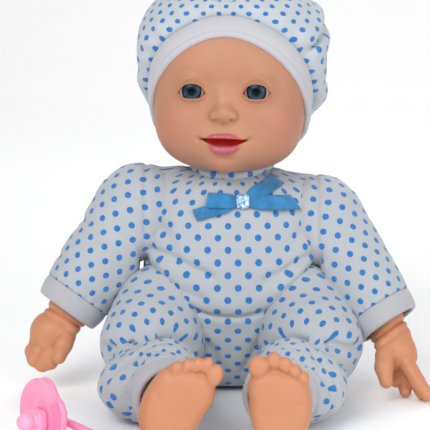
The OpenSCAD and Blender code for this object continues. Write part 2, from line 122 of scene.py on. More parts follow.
def bell(d, width):
    """1 where d is 0, falling to 0 over a few widths."""
    return np.exp(-((d / width) ** 2))


def ramp(x, low, high):
    """0 up to low and 1 from high on, smoothly."""
    t = np.clip((x - low) / (high - low), 0, 1)
    return t * t * (3 - 2 * t)


def curve(t, knots, values):
    """A smooth curve through the values given at the knots."""
    knots, values = np.array(knots, float), np.array(values, float)
    slope = np.gradient(values, knots)
    t = np.clip(t, knots[0], knots[-1])
    i = np.clip(np.searchsorted(knots, t, side="right") - 1, 0, len(knots) - 2)
    h = knots[i + 1] - knots[i]
    s = (t - knots[i]) / h
    from_left = (1 + 2 * s) * (1 - s) ** 2 * values[i] + s * (1 - s) ** 2 * h * slope[i]
    from_right = s * s * (3 - 2 * s) * values[i + 1] + s * s * (s - 1) * h * slope[i + 1]
    return from_left + from_right


def ball(p, centre, r):
    """Distance to a ball's surface, below 0 inside."""
    return np.linalg.norm(p - np.array(centre, float), axis=-1) - r


def egg(p, centre, radii, flat=2.0, upright=None):
    """A superellipsoid: flat shapes its plan, upright its height; above 2 is squarer."""
    upright = upright or flat
    q = np.abs(p - np.array(centre, float)) / np.array(radii, float)
    plan = q[..., 0] ** flat + q[..., 1] ** flat
    f = (plan ** (upright / flat) + q[..., 2] ** upright) ** (1 / upright)
    return (f - 1) * min(radii)


def bar(p, a, b, ra, rb=None):
    """A rounded bar from a to b, with a radius at each end."""
    a, b = np.array(a, float), np.array(b, float)
    rb = ra if rb is None else rb
    t = np.clip(((p - a) @ (b - a)) / ((b - a) @ (b - a)), 0, 1)
    return np.linalg.norm(p - a - t[..., None] * (b - a), axis=-1) - (ra + (rb - ra) * t)


def chain(p, points, radii, k=0.0):
    """Bars joined end to end, smoothed by k."""
    d = bar(p, points[0], points[1], radii[0], radii[1])
    for i in range(1, len(points) - 1):
        e = bar(p, points[i], points[i + 1], radii[i], radii[i + 1])
        d = smooth_union(d, e, k) if k else np.minimum(d, e)
    return d


def line_distance(p, points):
    """Distance to a bent line."""
    return chain(p, points, [0.0] * len(points))


def creased(d, p, creases, share=1.0):
    """Field d pressed in along lines, each with its depth and width."""
    for line, depth, width in creases:
        d = d + share * depth * bell(line_distance(p, line), width)
    return d


def turned(p, angle, axis=2, about=(0, 0, 0)):
    """p seen from a frame turned by angle about an axis through a point."""
    i, j = [(1, 2), (2, 0), (0, 1)][axis]
    q = p - np.array(about, float)
    c, s = math.cos(angle), math.sin(angle)
    out = q.copy()
    out[..., i] = c * q[..., i] + s * q[..., j]
    out[..., j] = -s * q[..., i] + c * q[..., j]
    return out + np.array(about, float)


def waves(p, scale, seed=0.0):
    """Smooth unevenness between about -1 and 1, made of a few crossing waves."""
    x, y, z = p[..., 0] / scale, p[..., 1] / scale, p[..., 2] / scale
    a = np.sin(2.1 * x + 1.3 * y + seed) * np.cos(1.7 * z - 0.8 * x + 2 * seed)
    b = np.sin(1.1 * y - 2.3 * z + 3 * seed) * np.cos(1.9 * x + 0.9 * y - seed)
    return 0.5 * (a + b)


# ---------------------------------------------------------------- surface nets

CORNERS = np.array([[i, j, k] for i in (0, 1) for j in (0, 1) for k in (0, 1)])
EDGES = [(a, b) for a in range(8) for b in range(a + 1, 8)
         if np.abs(CORNERS[a] - CORNERS[b]).sum() == 1]
COARSE = 4
NEAR_CELLS = 1.9
BATCH = 400000
SETTLE_ROUNDS = 2


def spread(grid):
    """Every cell of a coarse grid repeated to the fine grid's size."""
    for axis in range(3):
        grid = np.repeat(grid, COARSE, axis)
    return grid


def sample(field, low, size, step):
    """The field on a grid, worked out finely only where its surface can be."""
    cells = [int(np.ceil(n / COARSE)) + 1 for n in size]
    axes = [low[i] + np.arange(cells[i]) * step * COARSE for i in range(3)]
    rough = field(np.stack(np.meshgrid(*axes, indexing="ij"), -1))
    near = np.abs(rough) < step * COARSE * NEAR_CELLS
    for axis in range(3):
        near = near | np.roll(near, 1, axis) | np.roll(near, -1, axis)
    fine = spread(rough)
    live = spread(near)
    index = np.argwhere(live)
    values = np.empty(len(index))
    for start in range(0, len(index), BATCH):
        part = index[start:start + BATCH]
        values[start:start + BATCH] = field(low + part * step)
    fine[live] = values
    return fine


def net_points(grid, cells):
    """The middle of each cell's crossings with the surface, in cells."""
    value = [grid[tuple((cells + c).T)] for c in CORNERS]
    total = np.zeros((len(cells), 3))
    crossings = np.zeros(len(cells))
    for a, b in EDGES:
        cut = (value[a] < 0) != (value[b] < 0)
        gap = np.where(cut, value[a] - value[b], 1.0)
        t = np.where(cut, value[a] / gap, 0.0)[:, None]
        total += np.where(cut[:, None], CORNERS[a] + t * (CORNERS[b] - CORNERS[a]), 0.0)
        crossings += cut
    return cells + total / crossings[:, None]


def net_quads(inside, number, axis):
    """A quad round every grid edge along one axis that the surface crosses."""
    u, v = (axis + 1) % 3, (axis + 2) % 3
    first = inside[tuple(slice(0, -1) if i == axis else slice(None) for i in range(3))]
    second = inside[tuple(slice(1, None) if i == axis else slice(None) for i in range(3))]
    edge = np.argwhere(first != second)
    keep = (edge[:, u] > 0) & (edge[:, v] > 0)
    for i in range(3):
        keep &= edge[:, i] < number.shape[i]
    edge = edge[keep]
    outward = first[tuple(edge.T)]
    ring = []
    for du, dv in ((1, 1), (0, 1), (0, 0), (1, 0)):
        c = edge.copy()
        c[:, u] -= du
        c[:, v] -= dv
        ring.append(number[tuple(c.T)])
    ring = np.stack(ring, 1)
    ring[~outward] = ring[~outward][:, ::-1]
    return ring[(ring >= 0).all(1)]


def settled(field, points, step):
    """Points moved along the field's slope onto its surface."""
    for _ in range(SETTLE_ROUNDS):
        value, slope = value_and_slope(field, points, 0.35 * step)
        move = slope * (value / np.maximum((slope ** 2).sum(1), 0.05))[:, None]
        far = np.linalg.norm(move, axis=1)
        points = points - move * np.minimum(1, 0.6 * step / np.maximum(far, 1e-9))[:, None]
    return points


def surface_net(field, low, high, step):
    """Vertices (mm) and quads of the field's zero surface between two corners."""
    low = np.array(low, float) - 2 * step
    size = np.ceil((np.array(high, float) + 2 * step - low) / step).astype(int) + 1
    grid = sample(field, low, size, step)
    inside = grid < 0
    count = sum(inside[tuple(slice(c, n - 1 + c) for c, n in zip(corner, grid.shape))]
                .astype(np.int8) for corner in CORNERS)
    cells = np.argwhere((count > 0) & (count < 8))
    number = np.full(count.shape, -1, np.int64)
    number[tuple(cells.T)] = np.arange(len(cells))
    quads = np.concatenate([net_quads(inside, number, axis) for axis in range(3)])
    points = low + net_points(grid, cells) * step
    return settled(field, points, step), quads


def value_and_slope(field, points, h):
    """The field and its gradient at the points."""
    slope = np.empty_like(points)
    for i in range(3):
        d = np.zeros(3)
        d[i] = h
        slope[:, i] = (field(points + d) - field(points - d)) / (2 * h)
    return field(points), slope


def add_mesh(name, points, faces, body=None):
    """A new piece from points in millimetres."""
    mesh = bpy.data.meshes.new(name)
    points = np.asarray(points, float)
    if isinstance(faces, np.ndarray):
        mesh.vertices.add(len(points))
        mesh.vertices.foreach_set("co", (points * MM).ravel())
        mesh.loops.add(faces.size)
        mesh.loops.foreach_set("vertex_index", faces.ravel().astype(np.int32))
        mesh.polygons.add(len(faces))
        mesh.polygons.foreach_set("loop_start", np.arange(0, faces.size, faces.shape[1]))
    else:
        mesh.from_pydata([tuple(p * MM) for p in points], [], faces)
    mesh.update(calc_edges=True)
    mesh.validate()
    mesh.shade_smooth()
    piece = bpy.data.objects.new(name, mesh)
    bpy.context.scene.collection.objects.link(piece)
    if body:
        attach(piece, body)
    return piece


def mark(piece, name, values):
    """Stores a number, or a vector, at every vertex for the piece's material to read."""
    values = np.asarray(values, np.float32)
    kind = "FLOAT" if values.ndim == 1 else "FLOAT_VECTOR"
    attribute = piece.data.attributes.new(name, kind, "POINT")
    attribute.data.foreach_set("value" if values.ndim == 1 else "vector", values.ravel())


def add_form(name, field, low, high, step, body=None):
    """A piece whose surface is the field's, and its points in millimetres."""
    points, quads = surface_net(field, low, high, step)
    return add_mesh(name, points, quads, body), points


def add_form_at(node, name, field, room, step, body):
    """A form within a CAD node's box and some room round it."""
    low, high = box_mm(node)
    return add_form(name, field, low - room, high + room, step, body)


# ---------------------------------------------------------------- materials


class Shader:
    """A node material that is being put together."""

    def __init__(self, name, roughness=0.5, **inputs):
        self.material = bpy.data.materials.new(name)
        self.material.use_nodes = True
        self.tree = self.material.node_tree
        self.bsdf = self.tree.nodes["Principled BSDF"]
        self.bsdf.inputs["Roughness"].default_value = roughness
        for key, value in inputs.items():
            self.bsdf.inputs[key.replace("_", " ")].default_value = value

    def node(self, kind, values=(), **settings):
        node = self.tree.nodes.new(kind)
        for key, value in settings.items():
            setattr(node, key, value)
        for socket, value in dict(values).items():
            self.put(node.inputs[socket], value)
        return node

    def put(self, socket, value):
        if isinstance(value, bpy.types.NodeSocket):
            self.tree.links.new(value, socket)
        elif isinstance(value, (tuple, list)) and len(value) == 3 and socket.type == "RGBA":
            socket.default_value = (*value, 1)
        else:
            socket.default_value = value

    def math(self, operation, a, b=0.0, clamp=False):
        node = self.node("ShaderNodeMath", {0: a, 1: b}, operation=operation)
        node.use_clamp = clamp
        return node.outputs[0]

    def times(self, a, b):
        return self.math("MULTIPLY", a, b)

    def number(self, name):
        """A number marked at the piece's vertices."""
        return self.node("ShaderNodeAttribute", attribute_name=name).outputs["Fac"]

    def place(self, name=None):
        """A vector marked at the vertices, or the piece's own coordinates in metres."""
        if name:
            return self.node("ShaderNodeAttribute", attribute_name=name).outputs["Vector"]
        return self.node("ShaderNodeTexCoord").outputs["Object"]

    def axes(self, vector):
        return self.node("ShaderNodeSeparateXYZ", {0: vector}).outputs

    def noise(self, scale, detail=2.0, vector=None):
        values = {"Vector": vector or self.place(), "Scale": scale, "Detail": detail}
        return self.node("ShaderNodeTexNoise", values).outputs["Fac"]

    def step(self, value, low, high):
        """0 where value is at low and 1 where it is at high, smoothly."""
        values = {"Value": value, "From Min": low, "From Max": high}
        node = self.node("ShaderNodeMapRange", values, interpolation_type="SMOOTHSTEP")
        return node.outputs["Result"]

    def mix(self, share, a, b):
        node = self.node("ShaderNodeMix", data_type="RGBA")
        for socket, value in ((0, share), (6, a), (7, b)):
            self.put(node.inputs[socket], value)
        return node.outputs[2]

    def bump(self, height, depth, strength=1.0):
        values = {"Height": height, "Distance": depth, "Strength": strength}
        node = self.node("ShaderNodeBump", values)
        self.put(self.bsdf.inputs["Normal"], node.outputs[0])

    def colour(self, value):
        self.put(self.bsdf.inputs["Base Color"], value)

    def roughness(self, value):
        self.put(self.bsdf.inputs["Roughness"], value)


MATERIALS = {}


def once(build):
    """Each material is built the first time it is asked for, under its name."""
    def wrapped(name, *args, **settings):
        if name not in MATERIALS:
            MATERIALS[name] = build(name, *args, **settings)
        return MATERIALS[name]
    return wrapped


def paint(piece, material):
    piece.data.materials.clear()
    piece.data.materials.append(material)


def lay_cloth(piece, along, across):
    """Marks where each vertex lies on the cloth, in mm, for the print and the knit."""
    mark(piece, "cloth_uv", np.stack([along, across, 0 * along], 1))


def dress(piece, slot, material, *nodes):
    """Puts a piece in the place of CAD nodes, with its material; its slot's name is not used."""
    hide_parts(*nodes)
    paint(piece, material)


SKIN = (0.54, 0.232, 0.12)
# The tone of the painted shade in the creases of the hands and feet.
SKIN_CREASE_SHADE = (0.45, 0.145, 0.06)
FACE = (0.44, 0.208, 0.122)


@once
def skin_material(name, face=False):
    """Soft vinyl: faint mottling, a fine grain, blush and painted lips on the face, with painted shade round the
    eyes, under the lip, at the nostrils and mouth corners, and in the limbs' creases.
    """
    s = Shader(name, 0.46, Subsurface_Weight=0.12, Subsurface_Radius=(1.0, 0.35, 0.2),
               Subsurface_Scale=0.003, Specular_IOR_Level=0.4)
    patch = s.step(s.noise(45, 2), 0.35, 0.7)
    tone = FACE if face else SKIN
    colour = s.mix(s.times(patch, 0.35), tone, tuple(1.15 * c for c in tone))
    if face:
        # Blush is the vinyl's own paint; the next two tones are painted shade: over and round the eyes and under
        # the lower lip, and along the edges of the lids.
        for tint, shade in (("blush", (0.43, 0.15, 0.105)), ("soft_shade", (0.36, 0.145, 0.07)),
                            ("rim", (0.3, 0.12, 0.065))):
            colour = s.mix(s.times(s.number(tint), 0.5), colour, shade)
        streak = s.step(s.noise(900, 2), 0.3, 0.7)
        lip = s.mix(streak, (0.41, 0.085, 0.11), (0.5, 0.125, 0.155))
        colour = s.mix(s.number("lips"), colour, lip)
        colour = s.mix(s.number("shade"), colour, (0.16, 0.045, 0.02))
        colour = s.mix(s.number("mouth_deep"), colour, (0.45, 0.012, 0.001))
        gloss = s.times(s.number("lips"), -0.12)
        s.roughness(s.math("ADD", gloss, 0.47))
    else:
        # Painted shade in the creases of the hands and feet.
        crease = s.number("crease")
        colour = s.mix(s.times(crease, 0.75), colour, SKIN_CREASE_SHADE)
        warm = s.number("warm")
        colour = s.mix(s.times(warm, 0.4), colour, (0.6, 0.22, 0.13))
    s.colour(colour)
    s.bump(s.noise(2600, 2), 0.00004)
    return s.material


@once
def eye_material(name):
    """A painted eye: pupil, streaked iris with a dark rim, and a warm white; painted light lifts the iris's lower
    part and painted shade darkens the white towards its edge.
    """
    s = Shader(name, 0.09, Specular_IOR_Level=0.1, Coat_Weight=0.04, Coat_Roughness=0.03)
    place = s.place("eye_place")
    x, z, _ = s.axes(place)
    r = s.math("SQRT", s.math("ADD", s.times(x, x), s.times(z, z)))
    angle = s.math("ARCTAN2", z, x)
    ring = s.node("ShaderNodeCombineXYZ", {0: s.math("COSINE", angle), 1: s.math("SINE", angle),
                                           2: s.times(r, 0.12)}).outputs[0]
    streak = s.step(s.noise(9.0, 3, ring), 0.35, 0.68)
    # Painted light: the lower part of the iris is made lighter, the upper part left dark as the lids' painted
    # shade.
    low = s.step(z, 1.5, -3.5)
    iris = s.mix(streak, (0.003, 0.015, 0.026), (0.022, 0.07, 0.11))
    iris = s.mix(s.times(s.times(low, streak), 0.55), iris, (0.07, 0.14, 0.19))
    iris = s.mix(s.step(r, 3.3, 2.1), iris, (0.006, 0.014, 0.022))
    iris = s.mix(s.step(r, 1.75, 2.15), (0.001, 0.001, 0.0015), iris)
    iris = s.mix(s.step(r, 4.2, 5.2), iris, (0.001, 0.002, 0.004))
    vein = s.step(s.noise(0.5, 3, place), 0.3, 0.7)
    white = s.mix(vein, (0.36, 0.2, 0.14), (0.44, 0.28, 0.21))
    # Painted shade: the white darkens towards its edge, under the lids.
    white = s.mix(s.step(r, 6.2, 8.0), white, (0.2, 0.05, 0.02))
    s.colour(s.mix(s.step(r, IRIS_R - 0.15, IRIS_R + 0.15), iris, white))
    return s.material


@once
def plain_material(name, colour, roughness=0.5, bump=0.05, grain=1500, vary=0.12, **inputs):
    """Moulded plastic, metal or cord: one colour with mottling, a fine grain and worn gloss."""
    s = Shader(name, roughness, **inputs)
    patch = s.step(s.noise(120, 3), 0.3, 0.75)
    dark = tuple(c * (1 - vary) for c in colour)
    light = tuple(min(1.0, c * (1 + vary) + 0.01) for c in colour)
    s.colour(s.mix(patch, dark, light))
    wear = s.times(s.noise(300, 3), 0.12)
    s.roughness(s.math("ADD", wear, roughness - 0.06, clamp=True))
    s.bump(s.noise(grain, 3), 0.001 * bump)
    return s.material


PINK = (0.9, 0.25, 0.45)
PINK_SOFT = (0.92, 0.36, 0.55)
# The white rib knit in two copies: the cuffs' darker as painted shade, the band's lighter as painted light.
WHITE_CLOTH_SHADED = (0.45, 0.448, 0.485)
WHITE_CLOTH_LIT = (0.52, 0.517, 0.55)
# The hat's copy of the dotted jersey, paler than the romper's: painted light on the top of the doll.
HAT_CLOTH_LIT = (0.5, 0.54, 0.58)
DOT_R = 1.86
DOT_ACROSS = 11.2
DOT_UP = 6.5
STITCH_ACROSS = 0.62
STITCH_UP = 0.5
RIB_PITCH = 0.45


@once
def cloth_material(name, dots=True, white=(0.448, 0.478, 0.508)):
    """Brushed knit jersey, painted shade in the hollows of its stitches, and staggered blue dots printed along the
    cloth's own grain.
    """
    s = Shader(name, 0.85, Sheen_Weight=0.25, Sheen_Roughness=0.5, Specular_IOR_Level=0.15)
    u, v, _ = s.axes(s.place("cloth_uv"))
    patch = s.step(s.noise(60, 3), 0.3, 0.75)
    base = s.mix(patch, tuple(c * 0.97 for c in white), white)
    stitch_u = s.math("SINE", s.times(u, 2 * math.pi / STITCH_ACROSS))
    stitch_v = s.math("SINE", s.times(v, 2 * math.pi / STITCH_UP))
    knit = s.times(stitch_u, stitch_v)
    # Painted shade in the hollows between the knit's stitches.
    base = s.mix(s.times(s.step(knit, 0.2, -0.9), 0.09), base,
                 tuple(0.9 * c for c in white))
    if dots:
        base = print_dots(s, base, u, v)
    s.colour(base)
    fuzz = s.times(s.noise(1800, 2), 0.7)
    s.bump(s.math("ADD", s.times(knit, 0.5), fuzz), 0.00012, 0.8)
    return s.material


def dotted_jersey():
    return cloth_material("doll_cloth_dotted")


def shaded_white_jersey():
    # The shaded copy of the white rib knit.
    return cloth_material("doll_cloth_white_shaded", dots=False, white=WHITE_CLOTH_SHADED)


def print_dots(s, base, u, v):
    """Two staggered grids of blue dots, each dot with a slightly bled edge."""
    near = None
    for shift in (0.0, 0.5):
        across = cell_offset(s, u, DOT_ACROSS, shift)
        up = cell_offset(s, v, 2 * DOT_UP, shift)
        d = s.math("SQRT", s.math("ADD", s.times(across, across), s.times(up, up)))
        near = d if near is None else s.math("MINIMUM", near, d)
    wobble = s.times(s.math("SUBTRACT", s.noise(1500, 2), 0.5), 0.5)
    near = s.math("ADD", near, wobble)
    halo = s.times(s.step(near, DOT_R + 0.75, DOT_R + 0.15), 0.3)
    base = s.mix(halo, base, (0.28, 0.48, 0.7))
    ink = s.mix(s.step(s.noise(700, 2), 0.3, 0.7), (0.024, 0.14, 0.42), (0.045, 0.21, 0.52))
    return s.mix(s.step(near, DOT_R + 0.12, DOT_R - 0.12), base, ink)


def cell_offset(s, value, pitch, shift):
    """How far value is from the middle of its cell, cells being a pitch wide."""
    share = s.math("FRACT", s.math("ADD", s.math("DIVIDE", value, pitch), 0.5 + shift + 100))
    return s.times(s.math("SUBTRACT", share, 0.5), pitch)


@once
def satin_material(name, colour=(0.005, 0.185, 0.43)):
    """Satin ribbon: a ribbed weave, long soft glints and painted shade darkening its edges."""
    s = Shader(name, 0.32, Anisotropic=0.6, Sheen_Weight=0.4)
    _, v, _ = s.axes(s.place("cloth_uv"))
    rib = s.math("SINE", s.times(v, 2 * math.pi / RIB_PITCH))
    edge = s.step(s.math("ABSOLUTE", v), 3.2, 3.9)
    patch = s.step(s.noise(160, 3), 0.3, 0.7)
    base = s.mix(patch, tuple(c * 0.8 for c in colour), tuple(min(1, c * 1.25) for c in colour))
    # Painted shade along the ribbon's edges.
    base = s.mix(s.times(edge, 0.5), base, tuple(c * 0.55 for c in colour))
    s.colour(base)
    s.bump(s.math("ADD", s.times(rib, 0.6), s.noise(900, 2)), 0.00008)
    return s.material


@once
def glitter_material(name):
    """Metallic knot ribbon: small facets that each catch the light their own way, and pale flecks in the colour,
    partly the glitter's own silver and partly painted glints.
    """
    s = Shader(name, 0.3, Metallic=0.35)
    cells = s.node("ShaderNodeTexVoronoi", {"Vector": s.place(), "Scale": 1100.0})
    fleck = s.axes(cells.outputs["Color"])[0]
    # Pale flecks: partly the glitter's own silver, partly painted glints.
    s.colour(s.mix(s.step(fleck, 0.3, 0.9), (0.12, 0.36, 0.62), (0.75, 0.9, 0.98)))
    s.bump(fleck, 0.0003)
    return s.material


# ---------------------------------------------------------------- head (its own frame, mm)

HEAD_LOW, HEAD_HIGH = box_mm("head_shell")
EYE_L, EYE_R = (sum(box_mm(n)) / 2 for n in ("left_eye", "right_eye"))
HEAD_YAW = math.atan2(*(EYE_L - EYE_R)[[1, 0]])
HEAD_AT = np.array([0.0, 0.0, (HEAD_LOW[2] + HEAD_HIGH[2]) / 2])
EYE_GAP = float(np.linalg.norm(EYE_L - EYE_R))
EYE_R_MM = float(box_mm("left_eye")[1][2] - EYE_L[2])
BAND_WAY = np.array([0.0, -math.cos(math.radians(37.6)), -math.sin(math.radians(37.6))])
BAND_FRONT = 13.7
BAND_WIDE = 14.6
MOUTH_HALF = 13.6
EYE_LINE = -1.9
LID_HALF = 7.9
LID_HEIGHT = 4.2
IRIS_R = 5.75
NECK = joint_at("head_turn")
NECK_HOLE = (box_mm("neck_bearing")[1] - box_mm("neck_bearing")[0])[0] / 2 + 0.3


def to_head(p):
    """Points of the row frame seen from the head's own frame: its middle, facing -Y."""
    return turned(p - HEAD_AT, HEAD_YAW)


def from_head(p):
    """Points of the head's own frame seen from the row frame."""
    return turned(np.asarray(p, float), -HEAD_YAW) + HEAD_AT


def skull(q):
    """The head without its features."""
    face = egg(q, (0, -3.0, -9), (45, 41.0, 42.5), 2.35, 2.55)
    crown = egg(q, (0, 4.5, 8), (43.5, 44.5, 42), 2.15, 2.2)
    d = smooth_union(face, crown, 8)
    for s in (-1, 1):
        d = smooth_union(d, ball(q, (s * 23.5 + 0.6, -25, -23.6), 15.6), 12)
    d = smooth_union(d, egg(q, (0, -20, 17), (30, 20.5, 20)), 9)
    d = smooth_union(d, egg(q, (1.4, -17, -35), (29.4, 23, 14)), 9)
    return smooth_union(d, ball(q, (0, -36, -41), 7.0), 9)


def eye_lens(q, side):
    """Below 0 inside an eye's opening: a rounded slot with pinched corners."""
    x = q[..., 0] - side * EYE_GAP / 2
    share = np.clip(np.abs(x) / LID_HALF, 0, 1.6)
    z = q[..., 2] - EYE_LINE + 1.1 * share ** 2
    return np.abs(z) - LID_HEIGHT * (1 - share ** 2.8)


def mouth_edges(x):
    """Heights of the upper and lower edges of the parted lips."""
    share = np.abs(x) / MOUTH_HALF
    roll = 0.02 * x
    top = -28.5 - 0.6 * share ** 1.5 - roll
    bottom = -33.0 + 3.8 * share ** 2.6 - roll
    return top, bottom


def mouth_gap(q):
    """Below 0 inside the parted lips."""
    top, bottom = mouth_edges(q[..., 0])
    return np.maximum(q[..., 2] - top, bottom - q[..., 2])


def lip_shares(q):
    """How far across each lip a point is: 0 at the mouth's edge and 1 at the outline."""
    x, z = q[..., 0], q[..., 2]
    top, bottom = mouth_edges(x)
    outline_top = -25.4 - 0.5 * bell(x + 0.7, 1.3) - 3.0 * (np.abs(x + 0.4) / 10.6) ** 2.2
    outline_low = -37.9 + 5.2 * (np.abs(x - 0.3) / 10.4) ** 2.6
    upper = (z - top) / np.maximum(outline_top - top, 0.4)
    lower = (bottom - z) / np.maximum(bottom - outline_low, 0.4)
    return upper, lower


def with_sockets(d, q, front):
    """Shallow sockets round the eyes, and a soft brow over each."""
    x, _, z = xyz(q)
    for s in (-1, 1):
        socket = np.hypot(x - s * 16.5, (z + 0.5) * 1.15)
        d = d + 1.3 * front * bell(socket, 10)
        d = d - 0.7 * front * bell(np.hypot((x - s * 19) * 0.5, z - 11.0), 4.5)
    return d


def with_nose(d, q):
    d = smooth_union(d, bar(q, (0, -40.5, -3), (0, -45.4, -13.8), 2.6, 3.9), 6.5)
    d = smooth_union(d, ball(q, (0, -46.0, -14.4), 3.9), 3.8)
    for s in (-1, 1):
        d = smooth_union(d, egg(q, (s * 5.3, -44.8, -15.6), (3.1, 3.5, 2.8)), 2.4)
        d = smooth_cut(d, egg(q, (s * 4.3, -47.6, -18.0), (1.3, 2.2, 0.8)), 0.6)
    return d


def with_mouth(d, q, front):
    """Parted lips on a raised muzzle, with a dent above, below and at each corner."""
    x, y, z = xyz(q)
    d = smooth_union(d, egg(q, (0, -35.0, -30.5), (15, 10.0, 11.5)), 9)
    upper, lower = lip_shares(q)
    near_upper = ramp(11.0 - np.abs(x + 0.4), 0, 6)
    near_lower = ramp(10.2 - np.abs(x - 0.3), 0, 5)
    d = d - front * 1.5 * near_upper * bell(upper - 0.42, 0.5)
    d = d - front * 2.0 * near_lower * bell(lower - 0.45, 0.52)
    d = d + 0.5 * front * bell(x, 1.9) * bell(z + 22.0, 2.6)
    d = d + 1.1 * front * bell(np.hypot(x * 0.45, z + 40.0), 2.2)
    for s in (-1, 1):
        d = d + 1.0 * front * bell(np.hypot(x - s * 14.6, z + 29.0), 1.7)
        fold = line_distance(q, [(s * 9.0, -45, -17), (s * 14.5, -42, -24)])
        d = d + 0.4 * front * bell(fold, 3)
    return smooth_cut(d, np.maximum(mouth_gap(q), y + 41.5), 0.5)


def with_eyelids(d, q, front):
    """Lids that wrap the eyeballs, each with a fold above it and an opening."""
    y, z = q[..., 1], q[..., 2]
    for s in (-1, 1):
        lens = eye_lens(q, s)
        d = smooth_union(d, ball(q, (s * EYE_GAP / 2, -35.2, -1.6), EYE_R_MM + 0.8), 4)
        d = d - front * 0.2 * bell(lens - 0.9, 0.9)
        fold = bell(lens - 2.9, 0.7) * ramp(z - EYE_LINE, 0.5, 3.0)
        d = d + 0.45 * front * fold
        d = d + 0.25 * front * bell(lens - 2.6, 0.8) * ramp(EYE_LINE - z, 1.5, 3.5)
        d = smooth_cut(d, np.maximum(lens, y + 33.5), 0.35)
    return d


def with_ears(d, q):
    for s in (-1, 1):
        d = smooth_union(d, egg(q, (s * 44.6, 3.5, -14.5), (2.9, 6.5, 9.5)), 2.5)
        d = smooth_cut(d, egg(q, (s * 47.0, 1.6, -12.5), (1.4, 3.4, 5.4)), 1.5)
    return d


def head_field(p):
    q = to_head(p)
    front = ramp(-q[..., 1], 18, 30)
    d = with_sockets(skull(q), q, front)
    d = with_mouth(with_nose(d, q), q, front)
    d = with_ears(with_eyelids(d, q, front), q)
    neck = np.hypot(p[..., 0] - NECK[0], p[..., 1] - NECK[1])
    return smooth_cut(d, np.maximum(neck - NECK_HOLE, p[..., 2] - HEAD_AT[2] + 30), 1.5)


def both_sides(spot):
    """A mark made on the right and on the left, added together."""
    return sum(spot(s) for s in (-1, 1))


def face_marks(q):
    """How strongly each painted tone, painted shade among them, shows at the points of the head."""
    x, y, z = xyz(q)
    front = ramp(-y, 20, 32)
    upper, lower = lip_shares(q)
    pink_upper = ramp(1.12 - upper, 0, 0.25) * ramp(upper, -0.5, -0.1) \
        * ramp(11.2 - np.abs(x + 0.4), 0, 2.4)
    pink_lower = ramp(1.1 - lower, 0, 0.25) * ramp(lower, -0.5, -0.1) \
        * ramp(10.0 - np.abs(x - 0.3), 0, 2.5)
    blush = both_sides(lambda s: bell(np.hypot(x - s * 31, (z + 25) * 0.95), 14))
    # Painted shade along the edges of the lid openings.
    lid_shades = both_sides(lambda s: bell(eye_lens(q, s) - 0.8, 0.8))
    wells = both_sides(lambda s: ramp(-eye_lens(q, s), 0.0, 0.5))
    nostril = both_sides(lambda s: bell(np.hypot(x - s * 4.6, (z + 18.2) * 1.6), 1.1))
    corner = both_sides(lambda s: bell(np.hypot(x - s * 13.3, (z + 29.2) * 1.6), 1.3))
    # Painted shade: over the inner corners of the eyes, round the sockets and under the lower lip.
    soft_shade = both_sides(lambda s: bell(np.hypot((x - s * 13.0) * 0.5, z - 4.0), 4.6))
    soft_shade = soft_shade + 0.5 * both_sides(lambda s: bell(eye_lens(q, s) - 2.0, 2.4))
    soft_shade = soft_shade + 0.8 * bell(np.hypot(x * 0.35, z + 40.2), 2.2)
    return {"lips": np.maximum(pink_upper, pink_lower) * front,
            "mouth_deep": ramp(-mouth_gap(q), 0.0, 0.5) * front,
            "blush": np.clip(blush, 0, 1) * ramp(-y, 4, 20),
            "rim": np.clip(lid_shades * front, 0, 1),
            "shade": np.clip((0.7 * wells + 0.55 * nostril + 0.6 * corner) * front, 0, 1),
            "soft_shade": np.clip(soft_shade * front, 0, 1)}


def add_head():
    piece, points = add_form_at("head_shell", "head_skin", head_field, 3, 0.7, "head")
    for name, values in face_marks(to_head(points)).items():
        mark(piece, name, values)
    dress(piece, "vinyl_skin", skin_material("doll_skin_head", face=True), "head_shell")


def dome(radius, rings, segments, cap):
    """Points and faces of a dome about -Y, its pole first, with the angle from the pole."""
    points, faces = [(0, -radius, 0)], []
    for i in range(1, rings + 1):
        a = cap * i / rings
        for j in range(segments):
            b = 2 * math.pi * j / segments
            points.append((radius * math.sin(a) * math.cos(b), -radius * math.cos(a),
                           radius * math.sin(a) * math.sin(b)))
    for j in range(segments):
        faces.append((0, 1 + j, 1 + (j + 1) % segments))
    for i in range(rings - 1):
        for j in range(segments):
            a, b = 1 + i * segments + j, 1 + i * segments + (j + 1) % segments
            faces.append((a, a + segments, b + segments, b))
    faces.append(tuple(reversed([1 + (rings - 1) * segments + j for j in range(segments)])))
    return np.array(points, float), faces


def add_eye(side):
    """An acrylic eyeball, with a dished iris."""
    centre = EYE_L if side == "left" else EYE_R
    points, faces = dome(EYE_R_MM, 40, 64, cap=math.radians(112))
    flat = np.hypot(points[:, 0], points[:, 2])
    dish = np.where(flat < IRIS_R, 0.28 * (1 - (flat / IRIS_R) ** 2), 0)
    points[:, 1] += dish * (flat < IRIS_R)
    gaze = turned(points, -HEAD_YAW)
    ball_piece = add_mesh(f"{side}_eyeball", gaze + centre, faces, "head")
    mark(ball_piece, "eye_place", np.stack([points[:, 0], points[:, 2], points[:, 1]], 1))
    dress(ball_piece, "eye_plastic", eye_material("doll_eye"), f"{side}_eye")


def mouth_cup_field(p):
    """The red cup behind the lips, hollowed a little where the dummy's teat goes."""
    q = to_head(p)
    cup = egg(q, (0, -37.5, -31), (13.4, 7.0, 7.6), 3)
    return smooth_cut(cup, egg(q, (0, -46.5, -31), (8, 5.0, 5)), 2.0)


def add_mouth_cup():
    middle = from_head([0, -38, -31])
    piece, _ = add_form("mouth_cup", mouth_cup_field, middle - 15, middle + 15, 0.6, "head")
    red = plain_material("mouth_red_vinyl", (0.33, 0.008, 0.0), 0.6, bump=0.08,
                         Specular_IOR_Level=0.04)
    dress(piece, "mouth_red", red, "mouth_insert")


# ---------------------------------------------------------------- hat

